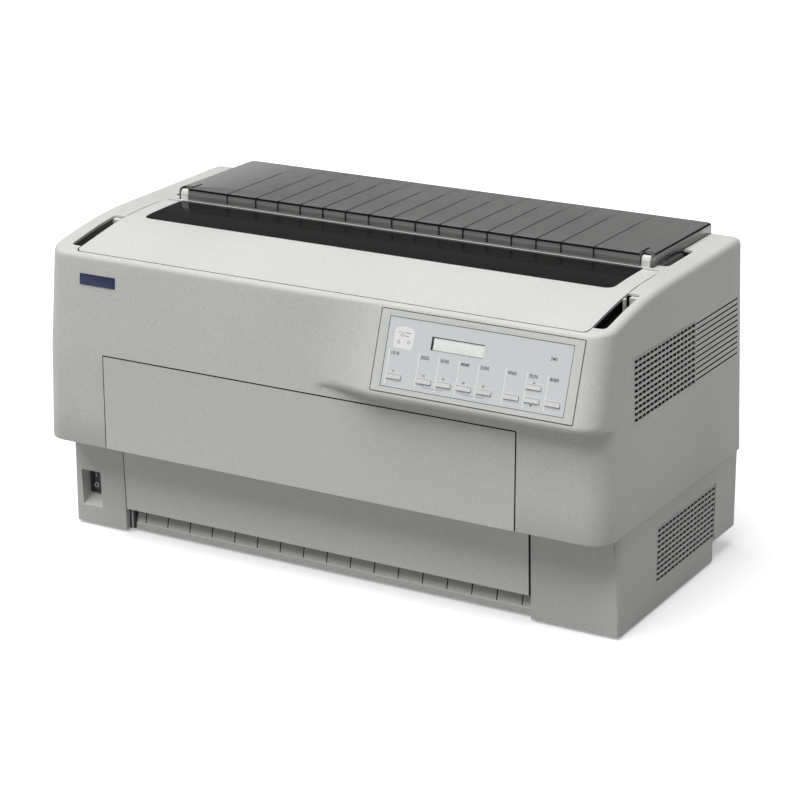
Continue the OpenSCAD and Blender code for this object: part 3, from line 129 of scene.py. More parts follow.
@dataclass
class Shape:
    """Surfaces in millimetres that are gathered into one mesh."""

    points: list[np.ndarray] = field(default_factory=list)
    quads: list[np.ndarray] = field(default_factory=list)
    caps: list[np.ndarray] = field(default_factory=list)
    count: int = 0

    def grid(self, points: np.ndarray, wrap: bool = True, capped: bool = True) -> "Shape":
        """Adds a surface given as rings of points.

        Args:
            points: Array (rings, points per ring, 3).
            wrap: Whether each ring closes on itself.
            capped: Whether the first and last ring are closed with a face.

        Returns:
            The shape itself, so that calls can be chained.
        """
        rows, cols = points.shape[:2]
        index = np.arange(rows * cols).reshape(rows, cols) + self.count
        if wrap:
            index = np.concatenate([index, index[:, :1]], axis=1)
        faces = np.stack([index[:-1, :-1], index[:-1, 1:], index[1:, 1:], index[1:, :-1]], axis=-1)
        self.points.append(points.reshape(-1, 3))
        self.quads.append(faces.reshape(-1, 4))
        if wrap and capped:
            self.caps.append(index[0, :-1][::-1])
            self.caps.append(index[-1, :-1])
        self.count += rows * cols
        return self

    def slab(
        self,
        place: Place,
        size: tuple[float, float],
        low: float,
        high: float,
        corner: float = 1.0,
        edge: float = 0.0,
        steps: int = 5,
    ) -> "Shape":
        """Adds a plate with rounded corners and a rounded upper edge.

        Its outline is a rounded rectangle. Near the top the outline shrinks by edge (1 - cos a)
        while it rises by edge sin a, for a from 0 to 90 degrees.

        Args:
            place: Frame of the plate, with out as its thickness.
            size: Width along right and height along up.
            low: Local height of the lower face.
            high: Local height of the upper face.
            corner: Radius of the outline's corners.
            edge: Radius of the upper edge.
            steps: Points per corner.

        Returns:
            The shape itself.
        """
        turns = np.radians(np.linspace(0, 90, 4)) if edge > 0 else np.zeros(1)
        levels = [low, *(high - edge + edge * np.sin(turns))]
        draws = [0.0, *(edge * (1 - np.cos(turns)))]
        wide, tall = size
        rings = [
            lifted(rounded(wide - 2 * d, tall - 2 * d, corner - d, steps), (z,))[0]
            for d, z in zip(draws, levels)
        ]
        return self.grid(place.map(np.array(rings)))

    def plates(
        self,
        place: Place,
        rows: list[tuple[float, ...]],
        low: float,
        high: float,
        corner: float = 0.05,
    ) -> "Shape":
        """Adds flat plates, each given as its left, right, lower and upper edge on the place."""
        for x0, x1, v0, v1 in rows:
            middle = place.moved((x0 + x1) / 2, (v0 + v1) / 2)
            self.slab(middle, (x1 - x0, v1 - v0), low, high, corner, steps=2)
        return self

    def hoop(
        self,
        place: Place,
        middle: tuple[float, float],
        inner: float,
        outer: float,
        low: float,
        high: float,
        steps: int,
    ) -> "Shape":
        """Adds a flat ring: a rectangle carried once round an axis.

        Args:
            place: Frame whose out axis it runs round.
            middle: Its middle on the place.
            inner: Inner radius.
            outer: Outer radius.
            low: Local height of the lower face.
            high: Local height of the upper face.
            steps: Points round it.

        Returns:
            The shape itself.
        """
        (x, y), turn = middle, circle(steps)
        corners = ((inner, low), (outer, low), (outer, high), (inner, high), (inner, low))
        rings = [
            np.column_stack([x + r * np.cos(turn), y + r * np.sin(turn), np.full(steps, z)])
            for r, z in corners
        ]
        return self.grid(place.map(np.array(rings)), capped=False)

    def turned(self, place: Place, profile: list[tuple[float, float]], steps: int = 24) -> "Shape":
        """Adds a body of revolution about the place's out axis.

        Args:
            place: Frame of the body.
            profile: Pairs of radius and height, from the lower end to the upper one.
            steps: Points round the axis.

        Returns:
            The shape itself.
        """
        turn = circle(steps)
        r, h = np.array(profile, float).T
        high = np.repeat(h[:, None], steps, 1)
        rings = np.stack([np.outer(r, np.cos(turn)), np.outer(r, np.sin(turn)), high], axis=-1)
        return self.grid(place.map(rings))

    def tube(self, path: np.ndarray, radius: float, steps: int = 10) -> "Shape":
        """Adds a round tube: a circle carried along a path, square to its direction.

        Args:
            path: Array (points, 3).
            radius: Radius of the tube.
            steps: Points round it.

        Returns:
            The shape itself.
        """
        path = np.asarray(path, float)
        ahead = np.gradient(path, axis=0)
        ahead /= np.linalg.norm(ahead, axis=1)[:, None]
        helper = np.where(np.abs(ahead[:, 2:3]) > 0.9, [[1.0, 0, 0]], [[0, 0, 1.0]])
        side = np.cross(helper, ahead)
        side /= np.linalg.norm(side, axis=1)[:, None]
        rise = np.cross(ahead, side)
        c, s = (wave(circle(steps))[None, :, None] for wave in (np.cos, np.sin))
        return self.grid(path[:, None] + radius * (c * side[:, None] + s * rise[:, None]))

    def mesh(self, name: str, tidy: bool = True) -> bpy.types.Object:
        """Puts the gathered surfaces into a mesh object in metres.

        Args:
            name: Name of the object.
            tidy: Whether doubled points are merged and the faces turned outwards.

        Returns:
            The new object, linked to the scene.
        """
        points = np.concatenate(self.points) * MM
        flat = np.concatenate([quads.reshape(-1) for quads in self.quads])
        starts = np.arange(len(flat) // 4) * 4
        for cap in self.caps:
            starts = np.append(starts, len(flat))
            flat = np.append(flat, cap)
        data = bpy.data.meshes.new(name)
        data.vertices.add(len(points))
        data.vertices.foreach_set("co", points.astype(np.float32).ravel())
        data.loops.add(len(flat))
        data.loops.foreach_set("vertex_index", flat.astype(np.int32))
        data.polygons.add(len(starts))
        data.polygons.foreach_set("loop_start", starts.astype(np.int32))
        data.update(calc_edges=True)
        data.validate()
        if tidy:
            work = bmesh.new()
            work.from_mesh(data)
            bmesh.ops.remove_doubles(work, verts=work.verts, dist=1e-7)
            bmesh.ops.recalc_face_normals(work, faces=work.faces)
            work.to_mesh(data)
            work.free()
        obj = linked(name, data)
        shade(obj)
        return obj

    def piece(
        self,
        name: str,
        slot: str,
        look: "Finish",
        body: str = "case",
        edge: float = 0.0,
        replaced: tuple[str, ...] = (),
    ) -> bpy.types.Object:
        """Makes a finished piece of the gathered surfaces.

        Args:
            name: Name of the piece.
            slot: The record's material slot, not used.
            look: Its finish.
            body: CAD body that it rides on.
            edge: Width of the rounding of its edges, or 0.
            replaced: CAD nodes that it stands for.

        Returns:
            The piece.
        """
        obj = self.mesh(name)
        if edge:
            soften(obj, edge)
        return finish(obj, body, look, replaced)


def rounded(width: float, height: float, radius: float, steps: int = 5) -> np.ndarray:
    """Outline of a rectangle with round corners: each corner is a quarter circle of the radius.

    Args:
        width: Full width.
        height: Full height.
        radius: Corner radius, cut to what the rectangle allows.
        steps: Points per corner.

    Returns:
        Array (4 steps, 2), counter-clockwise.
    """
    radius = max(min(radius, width / 2 - 1e-4, height / 2 - 1e-4), 1e-3)
    turn = np.radians(np.linspace(0, 90, steps))
    quarter = np.arange(4)[:, None] * math.pi / 2 + turn
    sign = np.array([[1, 1], [-1, 1], [-1, -1], [1, -1]])
    centre = sign * [width / 2 - radius, height / 2 - radius]
    x, y = centre[:, :1] + radius * np.cos(quarter), centre[:, 1:] + radius * np.sin(quarter)
    return np.stack([x, y], -1).reshape(-1, 2)


def shade(obj: bpy.types.Object, angle: float = 35.0) -> None:
    """Smooth shading with edges sharper than the angle kept sharp."""
    obj.data.shade_smooth()
    obj.data.set_sharp_from_angle(angle=math.radians(angle))


def soften(obj: bpy.types.Object, width: float, angle: float = 35.0) -> None:
    """Adds a bevel that rounds the edges sharper than the angle.

    Args:
        obj: The piece.
        width: Width of the bevel in millimetres.
        angle: Smallest edge angle in degrees that is rounded.
    """
    bevel = obj.modifiers.new("round_edges", "BEVEL")
    bevel.width = width * MM
    bevel.segments = 2
    bevel.limit_method = "ANGLE"
    bevel.angle_limit = math.radians(angle)
    bevel.harden_normals = True
    shade(obj, angle)


def evaluated(obj: bpy.types.Object) -> bpy.types.Mesh:
    """The object's shape as a mesh, with its modifiers applied."""
    depsgraph = bpy.context.evaluated_depsgraph_get()
    return bpy.data.meshes.new_from_object(obj.evaluated_get(depsgraph))


def finish(
    obj: bpy.types.Object, body: str, look: "Finish", replaced: tuple[str, ...] = ()
) -> bpy.types.Object:
    """Dresses a new piece and hands it to the frame.

    Args:
        obj: The piece.
        body: CAD body that it rides on.
        look: Its finish.
        replaced: CAD nodes that it stands for.

    Returns:
        The piece.
    """
    obj.data.materials.clear()
    obj.data.materials.append(look.material)
    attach(obj, body)
    if replaced:
        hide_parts(*replaced)
    LOG.info("piece %s on %s", obj.name, body)
    return obj


def refined(node: str, width: float) -> bpy.types.Object:
    """A merged copy of a CAD node with rounded edges.

    Args:
        node: Name of the CAD node.
        width: Width of the rounding in millimetres.

    Returns:
        The copy, not yet dressed.
    """
    data = frame["nodes"][node].data.copy()
    obj = linked(node + "_form", data)
    work = bmesh.new()
    work.from_mesh(data)
    bmesh.ops.remove_doubles(work, verts=work.verts, dist=2e-6)
    flat = math.radians(0.6)
    bmesh.ops.dissolve_limit(work, angle_limit=flat, verts=work.verts, edges=work.edges)
    work.to_mesh(data)
    work.free()
    soften(obj, width, 30.0)
    return obj


# ---- finishes ----


class Wiring:
    """Short ways to fill a node tree."""

    tree: bpy.types.NodeTree

    def node(
        self, kind: str, values: dict[str | int, object] | None = None, **settings: object
    ) -> bpy.types.Node:
        """Adds a node.

        Args:
            kind: Blender's name for it.
            values: First values of its sockets, by name or number.
            settings: Its properties.

        Returns:
            The node.
        """
        made = self.tree.nodes.new(kind)
        for key, value in settings.items():
            setattr(made, key, value)
        for key, value in (values or {}).items():
            made.inputs[key].default_value = value
        return made

    def feed(self, target: Socket, value: object) -> None:
        """Links a socket to the target, or writes a number or a colour into it."""
        if isinstance(value, Socket):
            self.tree.links.new(value, target)
        else:
            target.default_value = (*value, 1.0) if isinstance(value, tuple) else value

    def place(self) -> Socket:
        """The object's own coordinates."""
        return self.node("ShaderNodeTexCoord").outputs["Object"]

    def parts(self, vector: Socket) -> bpy.types.NodeOutputs:
        """The X, Y and Z of a vector."""
        split = self.node("ShaderNodeSeparateXYZ")
        self.feed(split.inputs[0], vector)
        return split.outputs

    def reckon(self, operation: str, first: object, second: object) -> Socket:
        """Sum or product of two numbers or sockets."""
        made = self.node("ShaderNodeMath", operation=operation)
        self.feed(made.inputs[0], first)
        self.feed(made.inputs[1], second)
        return made.outputs[0]

    def either(self, mask: Socket, low: object, high: object, colours: bool = False) -> Socket:
        """Mix of two numbers, colours or sockets, by a mask.

        Args:
            mask: Socket from 0 to 1.
            low: What the mask gives at 0.
            high: What it gives at 1.
            colours: Whether colours are mixed, and not numbers.

        Returns:
            The mixed value's socket.
        """
        mix = self.node("ShaderNodeMix", data_type="RGBA" if colours else "FLOAT")
        first, result = (6, 2) if colours else (2, 0)
        for number, value in ((0, mask), (first, low), (first + 1, high)):
            self.feed(mix.inputs[number], value)
        return mix.outputs[result]

    def spread(
        self, mask: Socket, low: float, high: float, start: float = 0.3, end: float = 0.7
    ) -> Socket:
        """A mask stretched to run from one number to another.

        Args:
            mask: Socket to stretch.
            low: Number at the start value.
            high: Number at the end value.
            start: Mask value that gives low.
            end: Mask value that gives high.

        Returns:
            The stretched value's socket.
        """
        ends = {"From Min": start, "From Max": end, "To Min": low, "To Max": high}
        ranged = self.node("ShaderNodeMapRange", ends)
        self.feed(ranged.inputs["Value"], mask)
        return ranged.outputs["Result"]


class NodeGroup(Wiring):
    """Base of the shared effects: a shader node group with named sockets, built once."""

    title = "effect"
    takes: dict[str, float] = {}

    def __init__(self) -> None:
        """Builds the group, or takes the one that is there."""
        found = bpy.data.node_groups.get(self.title)
        self.tree = found or bpy.data.node_groups.new(self.title, "ShaderNodeTree")
        if found:
            return
        for name, value in self.takes.items():
            self.socket(name, "INPUT").default_value = value
        results = self.build(self.node("NodeGroupInput").outputs)
        for name in results:
            self.socket(name, "OUTPUT")
        out = self.node("NodeGroupOutput")
        for name, source in results.items():
            self.feed(out.inputs[name], source)

    def socket(self, name: str, direction: str) -> bpy.types.NodeTreeInterfaceSocket:
        """Adds one named number socket to the group."""
        return self.tree.interface.new_socket(
            name=name, in_out=direction, socket_type="NodeSocketFloat"
        )

    def build(self, given: bpy.types.NodeOutputs) -> dict[str, Socket]:
        """Fills the group from its inputs and names its outputs. Each effect has its own."""
        raise NotImplementedError


class MouldedGrain(NodeGroup):
    """Spark-eroded texture of moulded plastic: fine pits and a slow drift of tone."""

    title = "moulded_grain"
    takes = {"Pit Scale": 1400.0, "Drift Scale": 6.0}

    def build(self, given: bpy.types.NodeOutputs) -> dict[str, Socket]:
        """A noise plus a cell pattern for the pits, a slow noise for tone, one for specks."""
        fine = self.node("ShaderNodeTexNoise", {"Detail": 2.0})
        pits = self.node("ShaderNodeTexVoronoi")
        slow = self.node("ShaderNodeTexNoise", {"Detail": 3.0, "Roughness": 0.6})
        speck = self.node("ShaderNodeTexNoise", {"Detail": 1.0, "Scale": 620.0})
        place = self.place()
        for texture in (fine, pits, slow, speck):
            self.feed(texture.inputs["Vector"], place)
        for texture, scale in ((fine, "Pit Scale"), (pits, "Pit Scale"), (slow, "Drift Scale")):
            self.feed(texture.inputs["Scale"], given[scale])
        return {
            "Height": self.reckon("ADD", fine.outputs["Fac"], pits.outputs["Distance"]),
            "Drift": slow.outputs["Fac"],
            "Speck": speck.outputs["Fac"],
        }


class SettledDust(NodeGroup):
    """Mask of dust: more on faces that look up, broken by noise."""

    title = "settled_dust"
    takes = {"Scale": 60.0, "Amount": 0.1}

    def build(self, given: bpy.types.NodeOutputs) -> dict[str, Socket]:
        """Upward part of the normal times a noise."""
        normal = self.parts(self.node("ShaderNodeNewGeometry").outputs["Normal"])
        noise = self.node("ShaderNodeTexNoise")
        self.feed(noise.inputs["Vector"], self.place())
        self.feed(noise.inputs["Scale"], given["Scale"])
        up = self.spread(normal["Z"], 0.0, 1.0, 0.0, 1.0)
        broken = self.reckon("MULTIPLY", up, noise.outputs["Fac"])
        return {"Mask": self.reckon("MULTIPLY", broken, given["Amount"])}


class RubbedEdge(NodeGroup):
    """Mask of polish on outer edges, from how convex the surface is."""

    title = "rubbed_edge"
    takes = {"Amount": 0.5}

    def build(self, given: bpy.types.NodeOutputs) -> dict[str, Socket]:
        """Pointiness above its middle value."""
        pointed = self.node("ShaderNodeNewGeometry").outputs["Pointiness"]
        edge = self.spread(pointed, 0.0, 1.0, 0.51, 0.62)
        return {"Mask": self.reckon("MULTIPLY", edge, given["Amount"])}


class BrushedLines(NodeGroup):
    """Long fine scratches of drawn or ground metal along X."""

    title = "brushed_lines"
    takes = {"Stretch": 12.0}

    def build(self, given: bpy.types.NodeOutputs) -> dict[str, Socket]:
        """A noise stretched along X."""
        squeeze = self.node("ShaderNodeMapping", {"Scale": (0.03, 1.0, 1.0)})
        noise = self.node("ShaderNodeTexNoise")
        self.feed(squeeze.inputs["Vector"], self.place())
        self.feed(noise.inputs["Vector"], squeeze.outputs["Vector"])
        self.feed(noise.inputs["Scale"], self.reckon("MULTIPLY", given["Stretch"], 60.0))
        return {"Height": noise.outputs["Fac"]}


class Surface(Wiring):
    """A material under construction, with its shader."""

    def __init__(self, name: str, **values: object) -> None:
        """Makes the material with a Principled shader.

        Args:
            name: Name of the material.
            values: Values of the shader's sockets. An underscore stands for a space.
        """
        self.material = bpy.data.materials.new(name)
        self.material.use_nodes = True
        self.tree = self.material.node_tree
        self.shader = next(n for n in self.tree.nodes if n.type == "BSDF_PRINCIPLED")
        for key, value in values.items():
            self.shader.inputs[key.replace("_", " ")].default_value = value

    def group(self, effect: type[NodeGroup], **values: float) -> bpy.types.NodeOutputs:
        """Places a shared effect with its own values, and gives its outputs."""
        made = self.node("ShaderNodeGroup", node_tree=effect().tree)
        for key, value in values.items():
            made.inputs[key.replace("_", " ")].default_value = value
        return made.outputs

    def link(self, source: Socket, target: str) -> None:
        """Joins a socket to the shader's socket of that name."""
        self.feed(self.shader.inputs[target], source)

    def blend(self, mask: Socket, low: object, high: object) -> Socket:
        """Colour between two colours or sockets, by a mask."""
        return self.either(mask, low, high, True)

    def drifted(self, drift: Socket, colour: Colour, low: float, high: float) -> Socket:
        """The colour, made darker and lighter by two factors along a slow noise."""
        return self.blend(self.spread(drift, 0.0, 1.0), tint(colour, low), tint(colour, high))

    def bump(self, height: Socket, strength: float, distance: float) -> None:
        """Feeds the shader's normal from a height.

        Args:
            height: Socket with the height.
            strength: Share of the effect.
            distance: Depth in millimetres.
        """
        bump = self.node("ShaderNodeBump", {"Strength": strength, "Distance": distance * MM})
        self.feed(bump.inputs["Height"], height)
        self.link(bump.outputs["Normal"], "Normal")


def tint(colour: Colour, factor: float) -> Colour:
    """The colour made lighter or darker by a factor, kept within 0 to 1."""
    return tuple(min(1.0, c * factor) for c in colour)


@dataclass(frozen=True)
class MouldedPlastic:
    """Plastic with a moulded grain, a slow drift of tone, specks, dust and rubbed edges."""

    name: str
    colour: Colour
    roughness: float = 0.5
    grain: float = 0.25
    drift: float = 0.03
    dust: float = 0.1
    specular: float = 0.4
    speck: float = 0.09
    dust_tone: Colour = (0.62, 0.60, 0.55)

    def make(self) -> bpy.types.Material:
        """Builds the material."""
        s = Surface(self.name, Specular_IOR_Level=self.specular)
        grain = s.group(MouldedGrain)
        dust = s.group(SettledDust, Amount=self.dust)
        rub = s.group(RubbedEdge)
        specks = s.node("ShaderNodeMix", {0: 1.0}, data_type="RGBA", blend_type="MULTIPLY")
        tone = s.drifted(grain["Drift"], self.colour, 1 - self.drift, 1 + self.drift)
        spots = s.spread(grain["Speck"], 1 - self.speck, 1 + self.speck, 0.25, 0.75)
        s.feed(specks.inputs[6], tone)
        s.feed(specks.inputs[7], spots)
        worn = s.blend(rub["Mask"], specks.outputs[2], tint(self.colour, 1.08))
        s.link(s.blend(dust["Mask"], worn, self.dust_tone), "Base Color")
        s.link(s.spread(grain["Drift"], self.roughness - 0.05, self.roughness + 0.07), "Roughness")
        s.bump(grain["Height"], self.grain, 0.04)
        return s.material


@dataclass(frozen=True)
class SmokedPlastic:
    """Clear plastic with a smoke tint, polished faces and faint flow marks."""

    name: str
    colour: Colour
    roughness: float = 0.04
    transmission: float = 0.9
    specular: float = 0.5
    ior: float = 1.45

    def make(self) -> bpy.types.Material:
        """Builds the material."""
        s = Surface(
            self.name,
            Transmission_Weight=self.transmission,
            IOR=self.ior,
            Specular_IOR_Level=self.specular,
        )
        grain = s.group(MouldedGrain, Pit_Scale=300.0, Drift_Scale=9.0)
        s.link(s.drifted(grain["Drift"], self.colour, 0.93, 1.07), "Base Color")
        s.link(s.spread(grain["Drift"], self.roughness, self.roughness + 0.05), "Roughness")
        s.bump(grain["Drift"], 0.03, 0.4)
        return s.material


@dataclass(frozen=True)
class Metal:
    """Bare, plated or painted metal with fine lines, stains and rubbed edges."""

    name: str
    colour: Colour
    roughness: float = 0.3
    metallic: float = 1.0
    lines: float = 0.25
    stretch: float = 12.0

    def make(self) -> bpy.types.Material:
        """Builds the material."""
        s = Surface(self.name, Metallic=self.metallic)
        lines = s.group(BrushedLines, Stretch=self.stretch)
        grain = s.group(MouldedGrain, Pit_Scale=900.0, Drift_Scale=14.0)
        rub = s.group(RubbedEdge, Amount=0.6)
        tone = s.drifted(grain["Drift"], self.colour, 0.9, 1.08)
        s.link(s.blend(rub["Mask"], tone, tint(self.colour, 1.3)), "Base Color")
        s.link(s.spread(lines["Height"], self.roughness - 0.06, self.roughness + 0.12), "Roughness")
        s.bump(lines["Height"], self.lines, 0.03)
        return s.material


@dataclass(frozen=True)
class BoardLacquer:
    """Green lacquer of a circuit board, with lighter copper tracks under it."""

    name: str
    colour: Colour
    track: Colour

    def make(self) -> bpy.types.Material:
        """Tracks are the thin mortar lines of a brick pattern."""
        s = Surface(self.name, Coat_Weight=0.3)
        bricks = s.node("ShaderNodeTexBrick", {"Scale": 60.0, "Mortar Size": 0.035})
        s.feed(bricks.inputs["Color1"], self.colour)
        s.feed(bricks.inputs["Color2"], tint(self.colour, 1.25))
        s.feed(bricks.inputs["Mortar"], self.track)
        s.feed(bricks.inputs["Vector"], s.place())
        grain = s.group(MouldedGrain, Pit_Scale=500.0)
        s.link(bricks.outputs["Color"], "Base Color")
        s.link(s.spread(grain["Drift"], 0.25, 0.4), "Roughness")
        s.bump(bricks.outputs["Fac"], 0.2, 0.05)
        return s.material


@dataclass(frozen=True)
class PrintedFilm:
    """Satin film of the control panel: its tone runs from one end to the other."""

    name: str
    left: Colour
    right: Colour
    start: float
    end: float

    def make(self) -> bpy.types.Material:
        """The colour follows X between the film's two ends."""
        s = Surface(self.name, Specular_IOR_Level=0.45)
        run = s.spread(s.parts(s.place())["X"], 0.0, 1.0, self.start * MM, self.end * MM)
        grain = s.group(MouldedGrain, Pit_Scale=1800.0)
        s.link(s.blend(run, self.left, self.right), "Base Color")
        s.link(s.spread(grain["Drift"], 0.32, 0.42), "Roughness")
        s.bump(grain["Height"], 0.08, 0.02)
        return s.material


class Finish(Enum):
    """Every finish on the printer, made the first time it is asked for."""

    HOUSING = MouldedPlastic("housing_plastic", (0.700, 0.705, 0.672), 0.50, 0.22)
    COVER = MouldedPlastic("cover_plastic", (0.735, 0.735, 0.72), 0.42, 0.18)
    PANEL = MouldedPlastic("panel_plastic", (0.70, 0.71, 0.68), 0.45, 0.16)
    RUBBER = MouldedPlastic("foot_rubber", (0.03, 0.03, 0.03), 0.8, 0.4, specular=0.2)
    KEY = MouldedPlastic("key_plastic", (0.80, 0.80, 0.78), 0.38, 0.1, dust=0.03)
    LUG = MouldedPlastic("lug_plastic", (0.80, 0.80, 0.77), 0.4, 0.12, dust=0.05)
    BLACK = MouldedPlastic("black_plastic", (0.014, 0.014, 0.015), 0.4, 0.15, 0.03, 0.015, 0.25)
    DARK = MouldedPlastic("dark_plastic", (0.05, 0.052, 0.055), 0.45, 0.2, dust=0.05)
    # Near-black finish that paints shade: in gaps, grooves, vent holes, screw crosses and the
    # supply's slots, and the dark edge reflections of the smoked guide
    SCREEN = MouldedPlastic("painted_shade_black", (0.006, 0.006, 0.006), 0.9, 0.3, 0.03, 0.0, 0.1)
    # Dark grey painted shade in the left finger tray
    PAN = MouldedPlastic("tray_painted_shade_grey", (0.13, 0.135, 0.125), 0.5, 0.2, dust=0.02)
    # Near-black: the socket cores' own colour, and painted shade in the right finger tray, under
    # the top cover's gaps and in the rings round the rear screws
    TRAY = MouldedPlastic("near_black_and_painted_shade", (0.022, 0.022, 0.021), 0.5, 0.2, dust=0.02)
    WHEEL = MouldedPlastic("wheel_plastic", (0.72, 0.70, 0.64), 0.4, 0.1)
    WHITE_INK = MouldedPlastic("white_ink", (0.93, 0.94, 0.93), 0.4, 0.02, 0.01, 0.0)
    # Dark grey ink for printed marks, also painted shade in the gaps round the panel frame and the
    # top cover, on the deck behind the window, and at the film's edge
    GREY_INK = MouldedPlastic("grey_ink_and_painted_shade", (0.055, 0.058, 0.06), 0.4, 0.02, 0.01, 0.0)
    TEAL_INK = MouldedPlastic("teal_ink", (0.22, 0.33, 0.31), 0.4, 0.02, 0.01, 0.0)
    BADGE = MouldedPlastic("badge_navy", (0.008, 0.015, 0.088), 0.3, 0.05, 0.02, 0.02)
    DISPLAY = MouldedPlastic("display_face", (0.93, 0.98, 0.93), 0.25, 0.02, 0.01, 0.0)
    LED = MouldedPlastic("led_lens", (0.75, 0.80, 0.70), 0.2, 0.0, 0.02, 0.0)
    BELT = MouldedPlastic("belt_rubber", (0.025, 0.025, 0.025), 0.75, 0.4, specular=0.2)
    CAN = MouldedPlastic("capacitor_sleeve", (0.02, 0.035, 0.09), 0.35, 0.1)
    COPPER = Metal("copper_wire", (0.75, 0.40, 0.22), 0.35, 1.0, 0.1)
    STEEL = Metal("zinc_steel", (0.62, 0.63, 0.62), 0.36)
    SHAFT = Metal("ground_steel", (0.72, 0.73, 0.74), 0.14, 1.0, 0.08, 30.0)
    PLATEN = Metal("black_steel", (0.05, 0.05, 0.052), 0.4, 0.8)
    HEAD = Metal("anodised_head", (0.045, 0.045, 0.048), 0.42, 0.7)
    CAST = Metal("cast_alloy", (0.52, 0.53, 0.54), 0.45, 0.9)
    MOTOR = Metal("motor_shell", (0.16, 0.16, 0.17), 0.4, 0.7)
    SMOKED = SmokedPlastic("smoked_plastic", (0.36, 0.36, 0.35), 0.06, 0.6)
    FIN = SmokedPlastic("smoked_fin", (0.008, 0.008, 0.008), 0.3, 0.1, 0.1)
    CHUTE = MouldedPlastic("chute_plastic", (0.34, 0.34, 0.33), 0.45, 0.2)
    # Housing plastic made a little darker: painted shade on the base, the lower vent and the sill's
    # post
    BASE = MouldedPlastic("housing_painted_shade", (0.68, 0.685, 0.655), 0.52, 0.22)
    # Housing plastic made lighter: painted light on the lower front panel, which lies in shade
    # under the lip
    FRONT = MouldedPlastic("housing_painted_light", (0.80, 0.805, 0.77), 0.52, 0.22)
    TINTED = SmokedPlastic("window_plastic", (0.013, 0.0122, 0.011), 0.12, 0.1, 0.08)
    BOARD = BoardLacquer("board_lacquer", (0.012, 0.10, 0.035), (0.05, 0.22, 0.08))
    FILM = PrintedFilm("panel_film", (0.33, 0.38, 0.388), (0.5, 0.515, 0.545), 99.0, 309.0)

    @property
    def material(self) -> bpy.types.Material:
        """The finish as a material."""
        return bpy.data.materials.get(self.value.name) or self.value.make()


# The finish that each material slot of the record gets
SLOT_LOOKS = {
    "housing": Finish.HOUSING,
    "cover_white": Finish.COVER,
    "vent": Finish.HOUSING,
    "guide_grey": Finish.HOUSING,
    "rubber_foot": Finish.RUBBER,
    "panel_film": Finish.FILM,
    "circuit_board": Finish.BOARD,
    "display_glass": Finish.DISPLAY,
    "key_white": Finish.KEY,
    "black_plastic": Finish.BLACK,
    "lug_white": Finish.LUG,
    "smoked": Finish.SMOKED,
    "tinted": Finish.TINTED,
    "dark_plastic": Finish.DARK,
    "steel": Finish.STEEL,
    "shaft_steel": Finish.SHAFT,
    "platen_steel": Finish.PLATEN,
    "head_metal": Finish.HEAD,
    "carriage_cast": Finish.CAST,
    "motor_metal": Finish.MOTOR,
    "belt_rubber": Finish.BELT,
    "wheel_plastic": Finish.WHEEL,
}


# ---- the line of the top ----


@dataclass(frozen=True)
class Crown:
    """Line of the top: a straight nose, an arch, and a gentle rise to the rear."""

    start: float = -15.0
    height: float = 358.5
    radius: float = 520.0
    nose: float = math.radians(11.2)
    rise: float = math.radians(0.9)

    def z(self, y: np.ndarray | float) -> np.ndarray:
        """Height of the top at a depth y, as a circle between its two tangents."""
        y = np.asarray(y, float)
        mid_y = self.start + self.radius * math.sin(self.rise)
        mid_z = self.height - self.radius * math.cos(self.rise)
        nose_y = mid_y - self.radius * math.sin(self.nose)
        nose_z = mid_z + self.radius * math.cos(self.nose)
        arch = mid_z + np.sqrt(np.maximum(self.radius**2 - (y - mid_y) ** 2, 0))
        front = nose_z + (y - nose_y) * math.tan(self.nose)
        rear = self.height + (y - self.start) * math.tan(self.rise)
        return np.where(y < nose_y, front, np.where(y > self.start, rear, arch))


CROWN = Crown()
PANEL = leaning((0.0, -190.632, 251.238), math.radians(PANEL_LEAN))


def boxes(spans: list[tuple[float, ...]]) -> Shape:
    """Plain boxes, each given as x0, x1, y0, y1, z0, z1."""
    shape = Shape()
    for x0, x1, y0, y1, z0, z1 in spans:
        ring = np.array([[x0, y0], [x1, y0], [x1, y1], [x0, y1]], float)
        shape.grid(lifted(ring, (z0, z1)))
    return shape


def cut(obj: bpy.types.Object, cutter: bpy.types.Object) -> None:
    """Takes the cutter's space out of the object, and removes the cutter."""
    job = obj.modifiers.new("openings", "BOOLEAN")
    job.operation = "DIFFERENCE"
    job.solver = "EXACT"
    job.object = cutter
    data = evaluated(obj)
    obj.modifiers.clear()
    obj.data = data
    bpy.data.objects.remove(cutter, do_unlink=True)


# ---- upper housing ----


def crown_bar(
    shape: Shape, x: tuple[float, float], y: tuple[float, float], drop: tuple[float, float]
) -> Shape:
    """Adds a bar under the top's line: a rectangle carried along Y, between two depths under it.

    Args:
        shape: Shape to add to.
        x: Left and right ends.
        y: Front and rear ends.
        drop: Upper and lower depth under the top.

    Returns:
        The shape.
    """
    ys = np.linspace(y[0], y[1], max(2, int((y[1] - y[0]) / 10) + 2))
    z = CROWN.z(ys)
    corners = [(x[0], drop[1]), (x[1], drop[1]), (x[1], drop[0]), (x[0], drop[0])]
    sides = [np.column_stack([np.full(len(ys), cx), ys, z - d]) for cx, d in corners]
    return shape.grid(np.stack(sides, axis=1))


